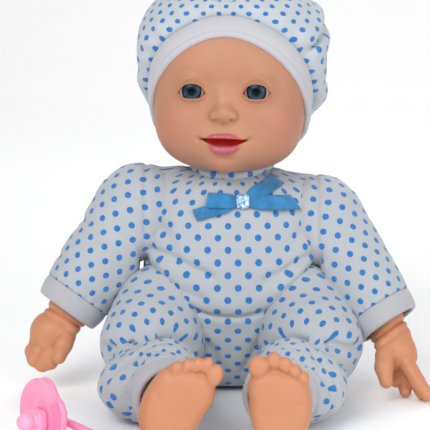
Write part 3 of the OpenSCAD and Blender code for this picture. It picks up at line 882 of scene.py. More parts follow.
SEAM_AT = BAND_FRONT - BAND_WIDE
DOT_CELLS_HAT = 30
HAT_R = DOT_CELLS_HAT * DOT_ACROSS / (2 * math.pi)
HAT_TOP_R = 37.0


def behind_band(q):
    """How far in front of the hat's seam plane a point is; the seam bows at the temples."""
    bow = 5.6 * (1 - bell(q[..., 0], 25.0))
    return q @ BAND_WAY - bow + 0.3 * np.maximum(q[..., 1] + 4, 0)


def hat_outside(q):
    x, y, z = xyz(q)
    high = egg(q, (0, 9, 8), (57, 49.5, 50.3), 2.2, 3)
    low = egg(q, (0, 9, 8), (57, 49.5, 45), 2.2, 3.2)
    puff = np.where(z > 8, high, low)
    puff = smooth_union(puff, egg(q, (0, 27, -22), (33, 22, 19)), 14)
    seam = behind_band(q) - SEAM_AT
    around = np.arctan2(x, z - 4)
    pucker = np.sin(23 * around + 1.7 * np.sin(5 * around)) * bell(seam + 2.5, 6.5)
    puff = puff + 0.55 * pucker + 0.9 * waves(q, 17, 0.7) * ramp(-seam, 0, 14)
    groove = line_distance(q, [(43, -20, 16), (49, -9, 25), (54, 4, 31), (55, 20, 36)])
    puff = puff + 3.0 * bell(groove, 3.6) - 1.3 * bell(groove - 8, 4.5)
    puff = creased(puff, q, [([(46, -6, -6), (53, 8, 0), (55, 24, 2)], 1.6, 3.2),
                             ([(-44, -14, 2), (-52, 4, 8), (-54, 22, 10)], 1.4, 3.4)])
    top_seam = np.hypot(x, y - 9) - HAT_TOP_R
    return puff + 0.9 * bell(top_seam, 1.1) * ramp(z, 35, 45)


def hat_closed(p):
    """The crown pulled in to the band at its seam."""
    q = to_head(p)
    seam = behind_band(q) - SEAM_AT
    outer = smooth_both(hat_outside(q), seam - 2.5, 11)
    cloth = np.maximum(outer, -(outer + 2.0))
    return smooth_both(cloth, seam - 0.4, 0.8)


def hat_cloth(q):
    """How the print runs: round the sides, and flat across the top inside its seam."""
    x, y, z = q.T
    side_u = HAT_R * np.arctan2(x, -(y - 9))
    side_v = curve(z, [-44, -22, 8, 30, 40, 48, 52, 56, 58.5],
                   [-54, -25, 8, 30, 43.5, 56.5, 65, 76, 90])
    on_top = (np.hypot(x, y - 9) < HAT_TOP_R) & (z > 35)
    return np.where(on_top, x + 4, side_u), np.where(on_top, y - 2, side_v)


def add_hat():
    piece, points = add_form_at("hat_crown", "hat_crown_cloth", hat_closed, 3, 1.0, "head")
    lay_cloth(piece, *hat_cloth(to_head(points)))
    # The lit copy of the dotted jersey.
    dress(piece, "dotted_cloth", cloth_material("doll_cloth_hat_lit", white=HAT_CLOTH_LIT), "hat_crown")


def band_field(p):
    q = to_head(p)
    front = behind_band(q)
    swell = 0.5 * bell(front - SEAM_AT - 6.5, 5)
    outer = skull(q) - 2.5 - swell - 0.15 * waves(q, 9, 2.1)
    seam, hem = bell(front - SEAM_AT - 0.6, 0.9), bell(front - BAND_FRONT + 2.6, 0.5)
    outer = outer + 0.8 * seam + 0.35 * hem
    cloth = smooth_both(outer, -(skull(q) + 0.4), 0.6)
    d = smooth_both(cloth, np.abs(front - BAND_FRONT + BAND_WIDE / 2) - BAND_WIDE / 2 - 0.3, 1.4)
    for s in (-1, 1):
        d = smooth_cut(d, egg(q, (s * 46, 1.5, -15.0), (6, 6.0, 7.5)), 0.8)
    return d


def add_band():
    piece, points = add_form_at("hat_band", "hat_band_cloth", band_field, 3, 0.8, "head")
    q = to_head(points)
    around = np.arctan2(q[:, 0], q[:, 2]) * 46
    lay_cloth(piece, around, behind_band(q))
    # The lit copy of the white rib knit.
    jersey = cloth_material("doll_cloth_white_lit", dots=False, white=WHITE_CLOTH_LIT)
    dress(piece, "white_cloth", jersey, "hat_band")


# ---------------------------------------------------------------- romper

SHOULDER = {s: joint_at(f"{s}_shoulder_swing") for s in SIDES}
WRIST = {s: joint_at(f"{s}_wrist_twist") for s in SIDES}
HIP = {s: joint_at(f"{s}_hip_swing") for s in SIDES}
ANKLE = {s: joint_at(f"{s}_ankle_twist") for s in SIDES}
CLOTH_STEP = 1.1
TORSO_R = 28 * DOT_ACROSS / (2 * math.pi)
TORSO_Z = [0, 5, 14, 30, 52, 74, 92, 108, 119, 128]
TORSO_RX = [38, 45, 49, 52, 53, 52.5, 51.5, 49, 43, 31]
TORSO_RY = [29, 35, 39, 41.5, 43, 42, 38.5, 34, 29.5, 24]
TORSO_CY = [6, 4, 2, 0, -2, -1.5, -0.5, 0.5, 1.5, 2.5]
COLLAR_AT = (0, 3.5, 129.6)
COLLAR_FOOT = 129.0


HEAD_ROOM = 0.9
THROAT_R = 21.0
FLOOR_GAP = 0.3


def waist_seam(x):
    """Height of the seam under the belly, which rises to each armpit."""
    return 48.5 + 31 * (np.abs(x) / 51) ** 2.3


def passing_head(p, turn, nod):
    """The skull as a point of the torso meets it when the head has turned and nodded."""
    q = turned(p, nod, axis=0, about=joint_at("head_nod"))
    return skull(to_head(turned(q, turn, about=NECK)))


# folds of the torso, drawn in the plane of its front, each with its depth and width
NO_DEPTH = np.array([1.0, 0.0, 1.0])
TORSO_FOLDS = [
    ([(-51, 0, 86), (-36, 0, 83), (-20, 0, 76), (-12, 0, 73)], 1.5, 2.2),
    ([(-50, 0, 80), (-40, 0, 70), (-30, 0, 64), (-18, 0, 60)], 1.0, 2.4),
    ([(50, 0, 84), (38, 0, 79), (27, 0, 73), (20, 0, 70)], 1.4, 2.2),
    ([(50, 0, 78), (42, 0, 69), (32, 0, 62)], 1.0, 2.2),
    ([(-46, 0, 104), (-38, 0, 96), (-34, 0, 88)], 0.7, 3.0),
    ([(46, 0, 102), (39, 0, 94), (34, 0, 86)], 0.7, 3.0),
    ([(-24, 0, 40), (-12, 0, 30), (-6, 0, 16)], 1.2, 2.2),
    ([(26, 0, 41), (14, 0, 30), (7, 0, 16)], 1.2, 2.2)]


def with_front(d, p):
    """The seam under the belly and the creases on the chest and at the groin."""
    front = ramp(-p[..., 1], 2, 16)
    seam = p[..., 2] - waist_seam(p[..., 0])
    d = d - front * (1.6 * bell(seam - 7, 7) - 2.4 * bell(seam, 1.7) - 0.6 * bell(seam + 9, 6))
    flat = p * NO_DEPTH
    for line, depth, width in TORSO_FOLDS:
        away = line_distance(flat, line)
        lip = bell(away - 2.6 * width, 2 * width)
        d = d + front * (depth * bell(away, width) - 0.5 * depth * lip)
    return d


def with_back(d, p):
    """A crease across the seat, and one down from each shoulder."""
    x, y, z = xyz(p)
    back = ramp(y, 5, 20)
    d = d + back * 1.3 * bell(z - 47 - 0.05 * np.abs(x), 1.8)
    return creased(d, p * NO_DEPTH, [([(s * 44, 0, 92), (s * 20, 0, 84)], 0.8, 3) for s in (-1, 1)], back)


def with_head_room(d, p):
    """Cut back under the head wherever its jaw passes as it turns and nods."""
    turn_low, turn_high = joint_range("head_turn")
    nod_low, nod_high = joint_range("head_nod")
    for turn, nod in ((turn_low, 0), (0.65 * turn_low, 0), (turn_low, nod_low),
                      (turn_high, nod_high)):
        d = smooth_cut(d, passing_head(p, turn, nod) - HEAD_ROOM, 1.0)
    return d


def torso_field(p):
    x, y, z = xyz(p)
    rx = curve(z, TORSO_Z, TORSO_RX)
    ry = curve(z, TORSO_Z, TORSO_RY)
    cy = curve(z, TORSO_Z, TORSO_CY)
    power = 2.0 + 0.45 * ramp(z, 40, 95)
    ring = (np.abs(x / rx) ** power + np.abs((y - cy) / ry) ** power) ** (1 / power)
    d = (ring - 1) * np.minimum(rx, ry)
    d = smooth_both(d, np.maximum(-z, z - 128.5), 9)
    d = smooth_union(d, bar(p, (-44, 2, 112.5), (44, 2, 108), 18), 9)
    d = with_front(d, p) - 0.45 * waves(p, 15, 0.3) - 0.2 * waves(p, 6, 1.1)
    d = with_back(d, p)
    throat = np.hypot(x, y - COLLAR_AT[1])
    d = smooth_cut(d, np.maximum(throat - THROAT_R, 112 - z), 2.0)
    return smooth_both(with_head_room(d, p), FLOOR_GAP - z, 1.0)


def torso_cloth(p):
    """How the print runs round the torso and up over its shoulders."""
    x, y, z = p.T
    rx = curve(z, TORSO_Z, TORSO_RX)
    ry = curve(z, TORSO_Z, TORSO_RY)
    turn = np.arctan2(x / rx, -(y - curve(z, TORSO_Z, TORSO_CY)) / ry)
    v = curve(z, [0, 14, 30, 100, 115, 124, 131], [-12, 8, 30, 100, 115.5, 127, 143])
    return TORSO_R * turn + 2.0, v + 3


def add_torso():
    low, high = np.array([-66, -50, -1]), np.array([66, 50, 134])
    piece, points = add_form("romper_body", torso_field, low, high, CLOTH_STEP, "torso")
    lay_cloth(piece, *torso_cloth(points))
    dress(piece, "dotted_cloth", dotted_jersey(), "romper_torso", "torso_stuffing")


def collar_field(p):
    x, y, z = p[..., 0], p[..., 1] - COLLAR_AT[1], p[..., 2]
    around = np.arctan2(x, -y)
    lift = 2.6 * np.sin(around) ** 2 - 1.6 * np.cos(around) + 0.4 * np.sin(3 * around + 0.6)
    lift = lift + 1.2 * bell(around - 1.05, 0.4)
    ring = np.hypot(x, y) - 22.6 - 0.5 * np.sin(5 * around) - 1.2 * bell(around - 1.05, 0.35)
    up = z - 129.4 - lift
    roll = np.hypot(ring, up) - 2.6
    stand = np.maximum(np.abs(ring + 0.4) - 1.3, np.abs(up + 2.2) - 3.6)
    d = smooth_union(roll, stand, 1.5)
    return d + 0.45 * bell(up + 2.4, 0.6) - 0.25 * np.sin(34 * around) * bell(up + 2.4, 1.6)


def add_collar():
    piece, points = add_form_at("collar", "collar_binding", collar_field, 5, 0.7, "torso")
    around = np.arctan2(points[:, 0], -(points[:, 1] - COLLAR_AT[1]))
    lay_cloth(piece, ARM_UV_R * around, points[:, 2] - COLLAR_FOOT)
    dress(piece, "dotted_cloth", dotted_jersey(), "collar")


class Limb:
    """A limb's own measure: along its axis from the joint, out from it, and round it."""

    def __init__(self, start, end, short):
        self.start = np.array(start, float)
        line = np.array(end, float) - self.start
        self.reach = float(np.linalg.norm(line))
        self.way = line / self.reach
        self.length = self.reach - short
        side = np.cross(self.way, (0, -1, 0))
        self.side = side / np.linalg.norm(side)
        self.over = np.cross(self.side, self.way)

    def measure(self, p):
        q = p - self.start
        t = q @ self.way
        a, b = q @ self.side, q @ self.over
        return t, np.hypot(a, b), np.arctan2(a, b)

    def at(self, t):
        return self.start + self.way * t


SHOULDER_R = 27.0
CUFF_LEN = 12.0
LEG_CUFF_LEN = 11.0
SLEEVE_END_R = 21.5
ANKLE_R = 20.5
ARM = {s: Limb(SHOULDER[s], WRIST[s], CUFF_LEN / 2) for s in SIDES}
LEG = {s: Limb(HIP[s], ANKLE[s], LEG_CUFF_LEN / 2) for s in SIDES}
ARM_UV_R = 14 * DOT_ACROSS / (2 * math.pi)
LEG_UV_R = 15 * DOT_ACROSS / (2 * math.pi)


def sleeve_field(side):
    limb, s = ARM[side], SIDES[side]
    shoulder = SHOULDER[side]

    def field(p):
        t, out, around = limb.measure(p)
        end = limb.length
        r = curve(t, [-10, 0, 0.45 * end, end - 9, end + 1], [26.8, 26.8, 25.0, 23.0, 21.3])
        d = np.maximum(out - r, -t)
        d = smooth_union(d, ball(p, shoulder, SHOULDER_R), 3)
        # the sleeve ends in a seam plane at the shoulder, and is free of it further out
        inner = (abs(shoulder[0]) + 0.6) - s * p[..., 0]
        free = ramp(np.linalg.norm(p - shoulder, axis=-1), 24, 33)
        d = smooth_both(d, np.where(free > 0, inner - (1 - free) * 40, -40), 3)
        for place, lean, depth in ((0.34, 0.5, 1.5), (0.55, -0.35, 1.0), (0.76, 0.3, 1.1)):
            line = t - place * end - lean * 9 * np.sin(around)
            d = d + depth * (0.6 + 0.4 * np.cos(around - 2.2)) * bell(line, 2.4)
        d = d - 0.5 * waves(p, 14, 1.7 + s) - 0.2 * waves(p, 6, s)
        gather = np.sin(19 * around + 2 * np.sin(3 * around)) * bell(t - end, 4)
        d = d + 0.35 * gather
        d = d + 1.3 * bell(np.linalg.norm(p - shoulder, axis=-1) - SHOULDER_R, 6) \
            * bell(s * p[..., 0] - 50.5, 1.4)
        return smooth_both(d, t - end - 0.3, 1.5)
    return field


def add_sleeve(side):
    limb = ARM[side]
    piece, points = add_form_at(f"{side}_sleeve", f"{side}_sleeve_cloth", sleeve_field(side), 4,
                                CLOTH_STEP, f"{side}_arm")
    t, _, around = limb.measure(points)
    lay_cloth(piece, ARM_UV_R * around, t)
    dress(piece, "dotted_cloth", dotted_jersey(), f"{side}_sleeve", f"{side}_upper_arm")


def cuff_field(limb, length, wide, narrow):
    def field(p):
        t, out, around = limb.measure(p)
        share = (t - limb.length) / length
        r = wide + (narrow - wide) * share + 0.5 * np.sin(math.pi * np.clip(share, 0, 1))
        r = r + 0.25 * np.sin(2 * around + 1)
        wall = np.abs(out - r + 1.7) - 1.7
        wall = wall + 0.3 * bell(t - limb.length - 1.6, 0.5)
        return smooth_both(wall, np.abs(t - limb.length - length / 2) - length / 2, 1.8)
    return field


def add_cuff(side, part):
    if part == "arm":
        limb, length, node, wide, narrow = ARM[side], CUFF_LEN, "cuff", SLEEVE_END_R, 19.4
    else:
        limb, length, node, wide, narrow = LEG[side], LEG_CUFF_LEN, "leg_cuff", ANKLE_R, 19.0
    piece, points = add_form_at(f"{side}_{node}", f"{side}_{node}_rib",
                                cuff_field(limb, length, wide, narrow), 2, 0.7, f"{side}_{part}")
    t, _, around = limb.measure(points)
    lay_cloth(piece, wide * around, t)
    dress(piece, "white_cloth", shaded_white_jersey(), f"{side}_{node}")


SHIN = {"left": ((39, -90, 20.3), (26, 31, 20)), "right": ((-48, -88, 20.3), (27, 30, 20))}


def with_leg_creases(d, p, side):
    """Creases across the lap and at the knee, and rings of folds above the cuff."""
    limb, s = LEG[side], SIDES[side]
    z = p[..., 2]
    t, _, around = limb.measure(p)
    crease = line_distance(p, [(s * 16, -58, 34), (s * 34, -66, 40), (s * 56, -64, 38),
                               (s * 74, -52, 32)])
    d = d + ramp(z, 12, 30) * (2.6 * bell(crease, 3.0) - 0.9 * bell(crease - 8, 5))
    thigh = [(s * 72, -44, 52), (s * 60, -52, 50), (s * 46, -58, 52)]
    knee = [(s * 60, -82, 36), (s * 72, -78, 26), (s * 76, -72, 16)]
    d = creased(d, p, [(thigh, 1.3, 2.6), (knee, 1.2, 2.6)])
    for k, (place, lean) in enumerate(((7, 3.0), (14, -3.5), (21, 2.5))):
        line = t - limb.length + place - lean * np.sin(2 * around + k)
        d = d + (1.5 - 0.3 * k) * bell(line, 1.9) * ramp(z, 2, 9)
    gather = np.sin(17 * around + 2 * np.sin(4 * around)) * bell(t - limb.length, 4.5)
    return d + 0.4 * gather - 0.45 * waves(p, 13, 2.3 + s) - 0.2 * waves(p, 6, 1 + s)


def trouser_field(side):
    limb, s = LEG[side], SIDES[side]
    end = limb.length
    shin_at, shin_radii = SHIN[side]

    def field(p):
        x, _, z = xyz(p)
        d = ball(p, HIP[side], 30.5)
        d = smooth_union(d, egg(p, (s * 41, -22, 46), (29, 24, 30)), 8)
        d = smooth_union(d, egg(p, shin_at, shin_radii), 11)
        d = smooth_union(d, bar(p, limb.at(end - 22), limb.at(end - 1), 21.5, 20.5), 7)
        d = with_leg_creases(d, p, side)
        d = smooth_both(d, 1.2 - s * x, 3)
        d = smooth_both(d, 0.4 - z, 2)
        return smooth_both(d, limb.measure(p)[0] - end - 0.3, 1.5)
    return field


def add_trousers(side):
    limb, s = LEG[side], SIDES[side]
    low = np.array([min(s * 1, s * 80), -124, -1])
    high = np.array([max(s * 1, s * 80), 6, 80])
    piece, points = add_form(f"{side}_trouser_cloth", trouser_field(side), low, high, CLOTH_STEP)
    t, _, around = limb.measure(points)
    _, y, z = points.T
    v = 0.5 * t - 0.5 * y + 0.35 * (60 - z) * ramp(z, 30, 60)
    lay_cloth(piece, LEG_UV_R * around, v)
    dress(piece, "dotted_cloth", dotted_jersey(), f"{side}_trouser_leg", f"{side}_upper_leg")
    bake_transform(piece)

# ---------------------------------------------------------------- hands and feet

SKIN_STEP = 0.7
STUB_R = 12
STUB_HALF = 8
CREASE_REACH = 1.6


def wrist_plane(limb, p, past):
    """Below 0 beyond the end of the limb's stuffing, where a hand or foot begins."""
    return limb.length + past - (p - limb.start) @ limb.way


def open_hand(p):
    """The left hand: thumb by the thigh, the fingers reaching down and out to the floor."""
    q = p - WRIST["left"]
    palm = chain(q, [(1, -1, -3), (4.5, -5, -12), (7, -10, -18)], [11.5, 10.8, 9.8], 4)
    palm = smooth_union(palm, egg(q, (7.5, -11, -20), (10.2, 7.6, 9.6)), 4)
    palm = smooth_union(palm, bar(q, (11, -11, -17), (13.5, -12, -22), 6.0, 5.2), 3)
    fingers = [([(12.5, -17, -24), (18, -24.5, -33), (23.6, -28.5, -40.2)], [4.8, 4.3, 3.7]),
               ([(12.5, -12, -26), (18, -17, -35), (21, -22.5, -41)], [4.7, 4.2, 3.7]),
               ([(8.5, -8, -27), (11.3, -12, -36), (12, -17, -41)], [4.5, 4.0, 3.6]),
               ([(4.5, -6, -25), (6, -9, -32.5), (6.6, -13, -36.5)], [4.2, 3.8, 3.3])]
    hand = palm
    for line, radii in fingers:
        hand = smooth_union(hand, chain(q, line, radii, 1.2), 1.3)
    thumb = chain(q, [(0.5, -13, -14), (-1.5, -23.5, -25), (-0.6, -29, -32)], [6.6, 5.2, 4.0], 2)
    hand = smooth_union(hand, thumb, 2.2)
    return hand + 0.35 * bell(np.linalg.norm(q - np.array([6, -19, -22]), axis=-1), 3)


def closed_hand(p):
    """The right hand: a loose fist with the thumb in front of the curled fingers."""
    q = p - WRIST["right"]
    d = smooth_union(bar(q, (1, 0, 2), (-3, -1.5, -7), 12.4, 12.6),
                     ball(q, (-11.8, -2.5, -17.5), 13.2), 4)
    d = smooth_union(d, egg(q, (-15.6, -4.5, -27.5), (10.4, 11.4, 10.2)), 4)
    for x, z in ((-22.5, -31.0), (-18.2, -34.0), (-13.8, -32.6), (-9.8, -28.6)):
        finger = chain(q, [(x, -8, z + 3), (x + 1.5, -13.5, z), (x + 3.5, -14.0, z + 5.0)],
                       [5.4, 4.7, 4.0], 1.5)
        d = smooth_union(d, finger, 1.2)
    thumb = chain(q, [(-1.5, -8, -14), (-4, -14.5, -22), (-6.6, -17.5, -29)],
                  [6.4, 5.2, 4.1], 2)
    return smooth_union(d, thumb, 1.4)


def with_stub(d, limb, p):
    """Joined to the neck of vinyl that the tie grips inside the cuff."""
    t, out, _ = limb.measure(p)
    stub = np.maximum(out - STUB_R, np.abs(t - limb.length) - STUB_HALF)
    return smooth_union(d, stub, 1.5)


def add_skin(side, part, field, room):
    """A vinyl hand or foot in the place of its CAD node, on its own body."""
    node = f"{side}_{part}"
    piece, points = add_form_at(node, f"{node}_skin", field, room, SKIN_STEP, node)
    mark_skin(piece, points, field)
    dress(piece, "vinyl_skin", skin_material("doll_skin_limb"), node)


def add_hand(side):
    limb = ARM[side]
    shape = open_hand if side == "left" else closed_hand

    def field(p):
        t, _, around = limb.measure(p)
        past = t - limb.length - CUFF_LEN
        crease = 1.3 * bell(past - 3.6 - 0.8 * np.sin(around), 1.1)
        crease = crease + 0.6 * bell(past - 8.0 - 1.5 * np.sin(around + 1), 1.3)
        d = smooth_both(shape(p) + crease, wrist_plane(limb, p, 1.6), 1.0)
        return with_stub(d, limb, p)

    add_skin(side, "hand", field, 6)


def mark_skin(piece, points, field):
    """Painted shade in the creases where the skin folds in, and a warmer tone where it stands out."""
    mean = np.zeros(len(points))
    ways = np.concatenate([np.eye(3), -np.eye(3)])
    for way in ways:
        mean += field(points + CREASE_REACH * way) / len(ways)
    mark(piece, "crease", np.clip(-mean / 0.55, 0, 1))
    mark(piece, "warm", np.clip(mean / 0.5 - 0.35, 0, 1))


TOES = {"left": [((-11.6, -16.5, 21.4), (5.6, 5.4, 6.2)), ((-3.7, -17.6, 25.2), (3.9, 4.6, 4.4)),
                 ((2.3, -17.4, 22.6), (3.6, 4.4, 4.2)), ((7.3, -16.8, 19.2), (3.4, 4.2, 3.9)),
                 ((11.8, -16.0, 15.2), (3.3, 4.0, 3.8))],
        "right": [((-11.2, -16.5, 21.0), (4.8, 5.0, 5.6)), ((-5.4, -17.4, 24.2), (3.1, 4.2, 3.9)),
                  ((-0.8, -17.2, 22.2), (3.0, 4.1, 3.8)), ((3.6, -16.8, 19.8), (3.0, 4.0, 3.7)),
                  ((8.2, -16.0, 16.4), (3.0, 3.9, 3.6))]}


def foot_shape(q, toes):
    """A left foot about its ankle: sole towards -Y, toes up, big toe towards -X."""
    d = chain(q, [(0, 3, 0), (0, -5, -1.5)], [13, 14])
    d = smooth_union(d, egg(q, (0.3, -12.5, -10.5), (14.2, 10.8, 13.2)), 6)
    d = smooth_union(d, egg(q, (0.2, -12.8, 5), (15.2, 8.8, 14.5), 2.3), 8)
    d = smooth_union(d, egg(q, (-6.6, -14.2, 10.2), (9.4, 7.6, 8.2)), 5)
    for place, radii in toes:
        toe = egg(q, place, radii)
        neck = bar(q, np.array(place) * (0.9, 1, 1) + (0, 3.2, -6), np.array(place) + (0, 1, 0),
                   radii[0] * 0.9, radii[0] * 0.8)
        d = smooth_union(d, smooth_union(toe, neck, 1.5), 1.3)
    under = [(place[0], -8.4, place[2] - radii[2] - 0.4) for place, radii in toes]
    under = [(-17, -8.4, under[0][2])] + under + [(14, -8.4, under[-1][2] - 1.5)]
    d = d + 1.2 * bell(line_distance(q * (1, 0.35, 1), under), 1.25)
    d = d + 0.5 * bell(line_distance(q, [(-9, -21, -3), (2, -21, -1), (11, -20, 2)]), 2.2)
    return smooth_both(d, -(q[..., 1] + 21.6), 2.5)


# each foot's lean in degrees, its shift towards the doll's left and the stretch of its toes
FOOT_SET = {"left": (0.0, 0.0, 1.0), "right": (26.0, 3.0, 1.16)}


def add_foot(side):
    limb, s = LEG[side], SIDES[side]
    lean, shift, tall = FOOT_SET[side]

    def field(p):
        q = turned(p - ANKLE[side] - np.array([shift, -5, 0]), math.radians(lean), 1)
        q = q * np.array([s, 1, 1])
        q[..., 2] = np.where(q[..., 2] > 0, q[..., 2] / tall, q[..., 2])
        d = smooth_both(foot_shape(q, TOES[side]), wrist_plane(limb, p, 2.2), 1.0)
        return with_stub(d, limb, p)

    add_skin(side, "foot", field, 4)


# ---------------------------------------------------------------- bow and back closure


MARCH_ROUNDS = 40
MARCH_SHARE = 0.9


def surface_y(field, x, z, start, way):
    """Where a line along Y, coming in from start, first meets the field's surface."""
    y = np.full(np.shape(x), float(start))
    for _ in range(MARCH_ROUNDS):
        y = y + way * MARCH_SHARE * np.maximum(field(np.stack([x, y, z], -1)), 0)
    return y


def slab(outer, inner):
    """Points and quads of a thin closed piece between two grids of points."""
    rows, columns = outer.shape[:2]
    points = np.concatenate([outer.reshape(-1, 3), inner.reshape(-1, 3)])
    count = rows * columns
    faces = []
    for i in range(rows - 1):
        for j in range(columns - 1):
            a, b = i * columns + j, (i + 1) * columns + j
            faces.append((a, a + 1, b + 1, b))
            faces.append((count + a, count + b, count + b + 1, count + a + 1))
        for j in (0, columns - 1):
            a, b = i * columns + j, (i + 1) * columns + j
            ring = (a, b, count + b, count + a)
            faces.append(ring if j == 0 else ring[::-1])
    for i in (0, rows - 1):
        for j in range(columns - 1):
            a = i * columns + j
            ring = (a, a + 1, count + a + 1, count + a)
            faces.append(ring[::-1] if i == 0 else ring)
    return points, faces


BOW_LOW, BOW_HIGH = box_mm("ribbon_knot")
BOW_AT = (BOW_LOW + BOW_HIGH) / 2
RIBBON_HALF = 4.0
RIBBON_THICK = 0.5


def ribbon_strip(reach, tilt, skew, depth, loop=False):
    """One loop or tail of ribbon, laid on the chest: out from the knot at a tilt in degrees.

    A loop folds over at its end and returns behind itself.
    """
    u, v = np.meshgrid(np.linspace(0, 1, 40), np.linspace(-1, 1, 9), indexing="ij")
    full = reach + skew * v
    if loop:
        along = full * (1 - np.cos(2 * math.pi * u)) / 2
        lift = depth * (1 + np.sin(2 * math.pi * u)) * (along / reach) ** 0.5
    else:
        along = full * u
        lift = 0.4 + depth * np.sin(math.pi * np.clip(u, 0, 1)) ** 2
    pinch = 0.55 + 0.45 * ramp(along, 0, 9)
    across = v * RIBBON_HALF * pinch
    lift = lift + 0.35 * np.sin(0.9 * along + 0.3 * v) * ramp(along, 2, 8) + 0.5 * (1 - pinch)
    a = math.radians(tilt)
    x = BOW_AT[0] + along * math.cos(a) - across * math.sin(a)
    z = BOW_AT[2] + along * math.sin(a) + across * abs(math.cos(a))
    y = surface_y(torso_field, x, z, -70, 1) - 1.0 - lift
    outer = np.stack([x, y - RIBBON_THICK / 2, z], -1)
    inner = np.stack([x, y + RIBBON_THICK / 2, z], -1)
    return outer, inner, np.stack([along, v * RIBBON_HALF, 0 * u], -1)


def add_bow():
    strips = [ribbon_strip(24, 28, -2.0, 0.4), ribbon_strip(29, 196, 2.6, 0.4),
              ribbon_strip(31.5, -3, -3.2, 1.3, loop=True),
              ribbon_strip(21, 178, -1.0, 1.5, loop=True)]
    points, faces, uvs = [], [], []
    start = 0
    for outer, inner, uv in strips:
        some, rings = slab(outer, inner)
        points.append(some)
        faces += [tuple(i + start for i in ring) for ring in rings]
        uvs += [uv.reshape(-1, 3)] * 2
        start += len(some)
    piece = add_mesh("ribbon_bow_satin", np.concatenate(points), faces, "torso")
    mark(piece, "cloth_uv", np.concatenate(uvs))
    dress(piece, "ribbon", satin_material("ribbon_satin"), "ribbon_bow")


def add_knot():
    """The glittering band that holds the bow, drawn in at two folds."""
    front = float(surface_y(torso_field, BOW_AT[0], BOW_AT[2], -70, 1))

    def knot(p):
        q = p - np.array([BOW_AT[0], front - 2.4, BOW_AT[2]])
        d = egg(q, (0, 0, 0), (4.1, 3.0, 4.7), 3.2)
        d = d + 0.35 * bell(q[..., 0] - 0.8 + 0.15 * q[..., 2], 0.7)
        return d + 0.25 * bell(q[..., 0] + 2.0, 0.6)

    low, high = BOW_AT - (7, 6, 7), BOW_AT + (7, 14, 7)
    piece, _ = add_form("ribbon_knot_glitter", knot, low, high, 0.4, "torso")
    dress(piece, "knot_ribbon", glitter_material("knot_glitter"), "ribbon_knot")


def add_closure():
    """The flap of hook-and-loop down the back, stitched along both edges."""
    low, high = box_mm("back_closure")
    z, x = np.meshgrid(np.linspace(low[2], high[2], 60), np.linspace(low[0], high[0], 15),
                       indexing="ij")
    y = surface_y(torso_field, x, z, 70, -1)
    edge = 1 - ramp(np.abs(x), high[0] - 2.2, high[0])
    ripple = 0.25 * np.sin(z * 0.5) * (1 - edge) + 0.2 * np.sin(z * 0.23)
    stitch = 0.35 * bell(np.abs(x) - high[0] + 2.0, 0.5)
    outer = np.stack([x, y + 0.9 + 0.5 * edge + ripple - stitch, z], -1)
    inner = np.stack([x, y - 0.3, z], -1)
    points, faces = slab(inner, outer)
    piece = add_mesh("back_closure_flap", points, faces, "torso")
    uv = np.stack([x, z, 0 * x], -1).reshape(-1, 3)
    mark(piece, "cloth_uv", np.concatenate([uv, uv]))
    dress(piece, "hook_loop", shaded_white_jersey(), "back_closure")


# ---------------------------------------------------------------- dummy

DUMMY_HINGE = joint_at("pacifier_ring_swing")
DUMMY_SIDE = np.array(JOINTS["pacifier_ring_swing"]["axis"], float)
DUMMY_YAW = math.atan2(DUMMY_SIDE[1], DUMMY_SIDE[0])
TEAT_LOW, TEAT_HIGH = box_mm("pacifier_nipple")
HINGE_BACK = 8
DUMMY_AT = np.array([DUMMY_HINGE[0] + HINGE_BACK * DUMMY_SIDE[1],
                     DUMMY_HINGE[1] - HINGE_BACK * DUMMY_SIDE[0],
                     (TEAT_LOW[2] + TEAT_HIGH[2]) / 2])
SHIELD_R = DUMMY_AT[2]
NOTCH_TURN = 48
LOBE_TURN = 24
LOBE_R = 9
LOBE_REACH = SHIELD_R - 6.3


def to_dummy(p):
    """Points seen from the middle of the dummy's shield, the teat towards -Y."""
    return turned(p - DUMMY_AT, DUMMY_YAW)


def shield_field(p):
    """A round dished plate with two low lobes either side of a notch for the nose."""
    q = to_dummy(p)
    x, y, z = xyz(q)
    out = np.hypot(x, z) - SHIELD_R
    for turn in (NOTCH_TURN - LOBE_TURN, NOTCH_TURN + LOBE_TURN):
        a = math.radians(turn)
        lobe = np.hypot(x - LOBE_REACH * math.cos(a), z - LOBE_REACH * math.sin(a)) - LOBE_R
        out = smooth_union(out, lobe, 1)
    dish = y + 0.0045 * (x * x + z * z) - 0.9
    plate = np.abs(dish) - 1.3 - 0.5 * bell(out + 1.4, 1.8)
    d = smooth_both(plate, out, 1.8)
    boss = np.maximum(np.hypot(x, z) - 8.6, np.abs(y - 1.0) - 2.3)
    return smooth_union(d, boss, 1.6)


def teat_field(p):
    """A soft square boss, a stem and a round tip."""
    q = to_dummy(p)
    x, y, z = xyz(q)
    out = np.hypot(x, z)
    square = (np.abs(x) ** 5 + np.abs(z) ** 5) ** 0.2 - 5.6
    base = smooth_both(square, np.abs(y + 4.0) - 2.6, 1.4)
    stem = np.maximum(out - 3.8, np.abs(y + 6.5) - 5)
    tip = egg(q, (0, -11.3, 0), (4.7, 4.9, 4.7))
    d = smooth_union(smooth_union(base, stem, 2.0), tip, 2.0)
    return d + 0.25 * bell(y + 8.2, 0.5) * bell(out - 3.8, 1.2)


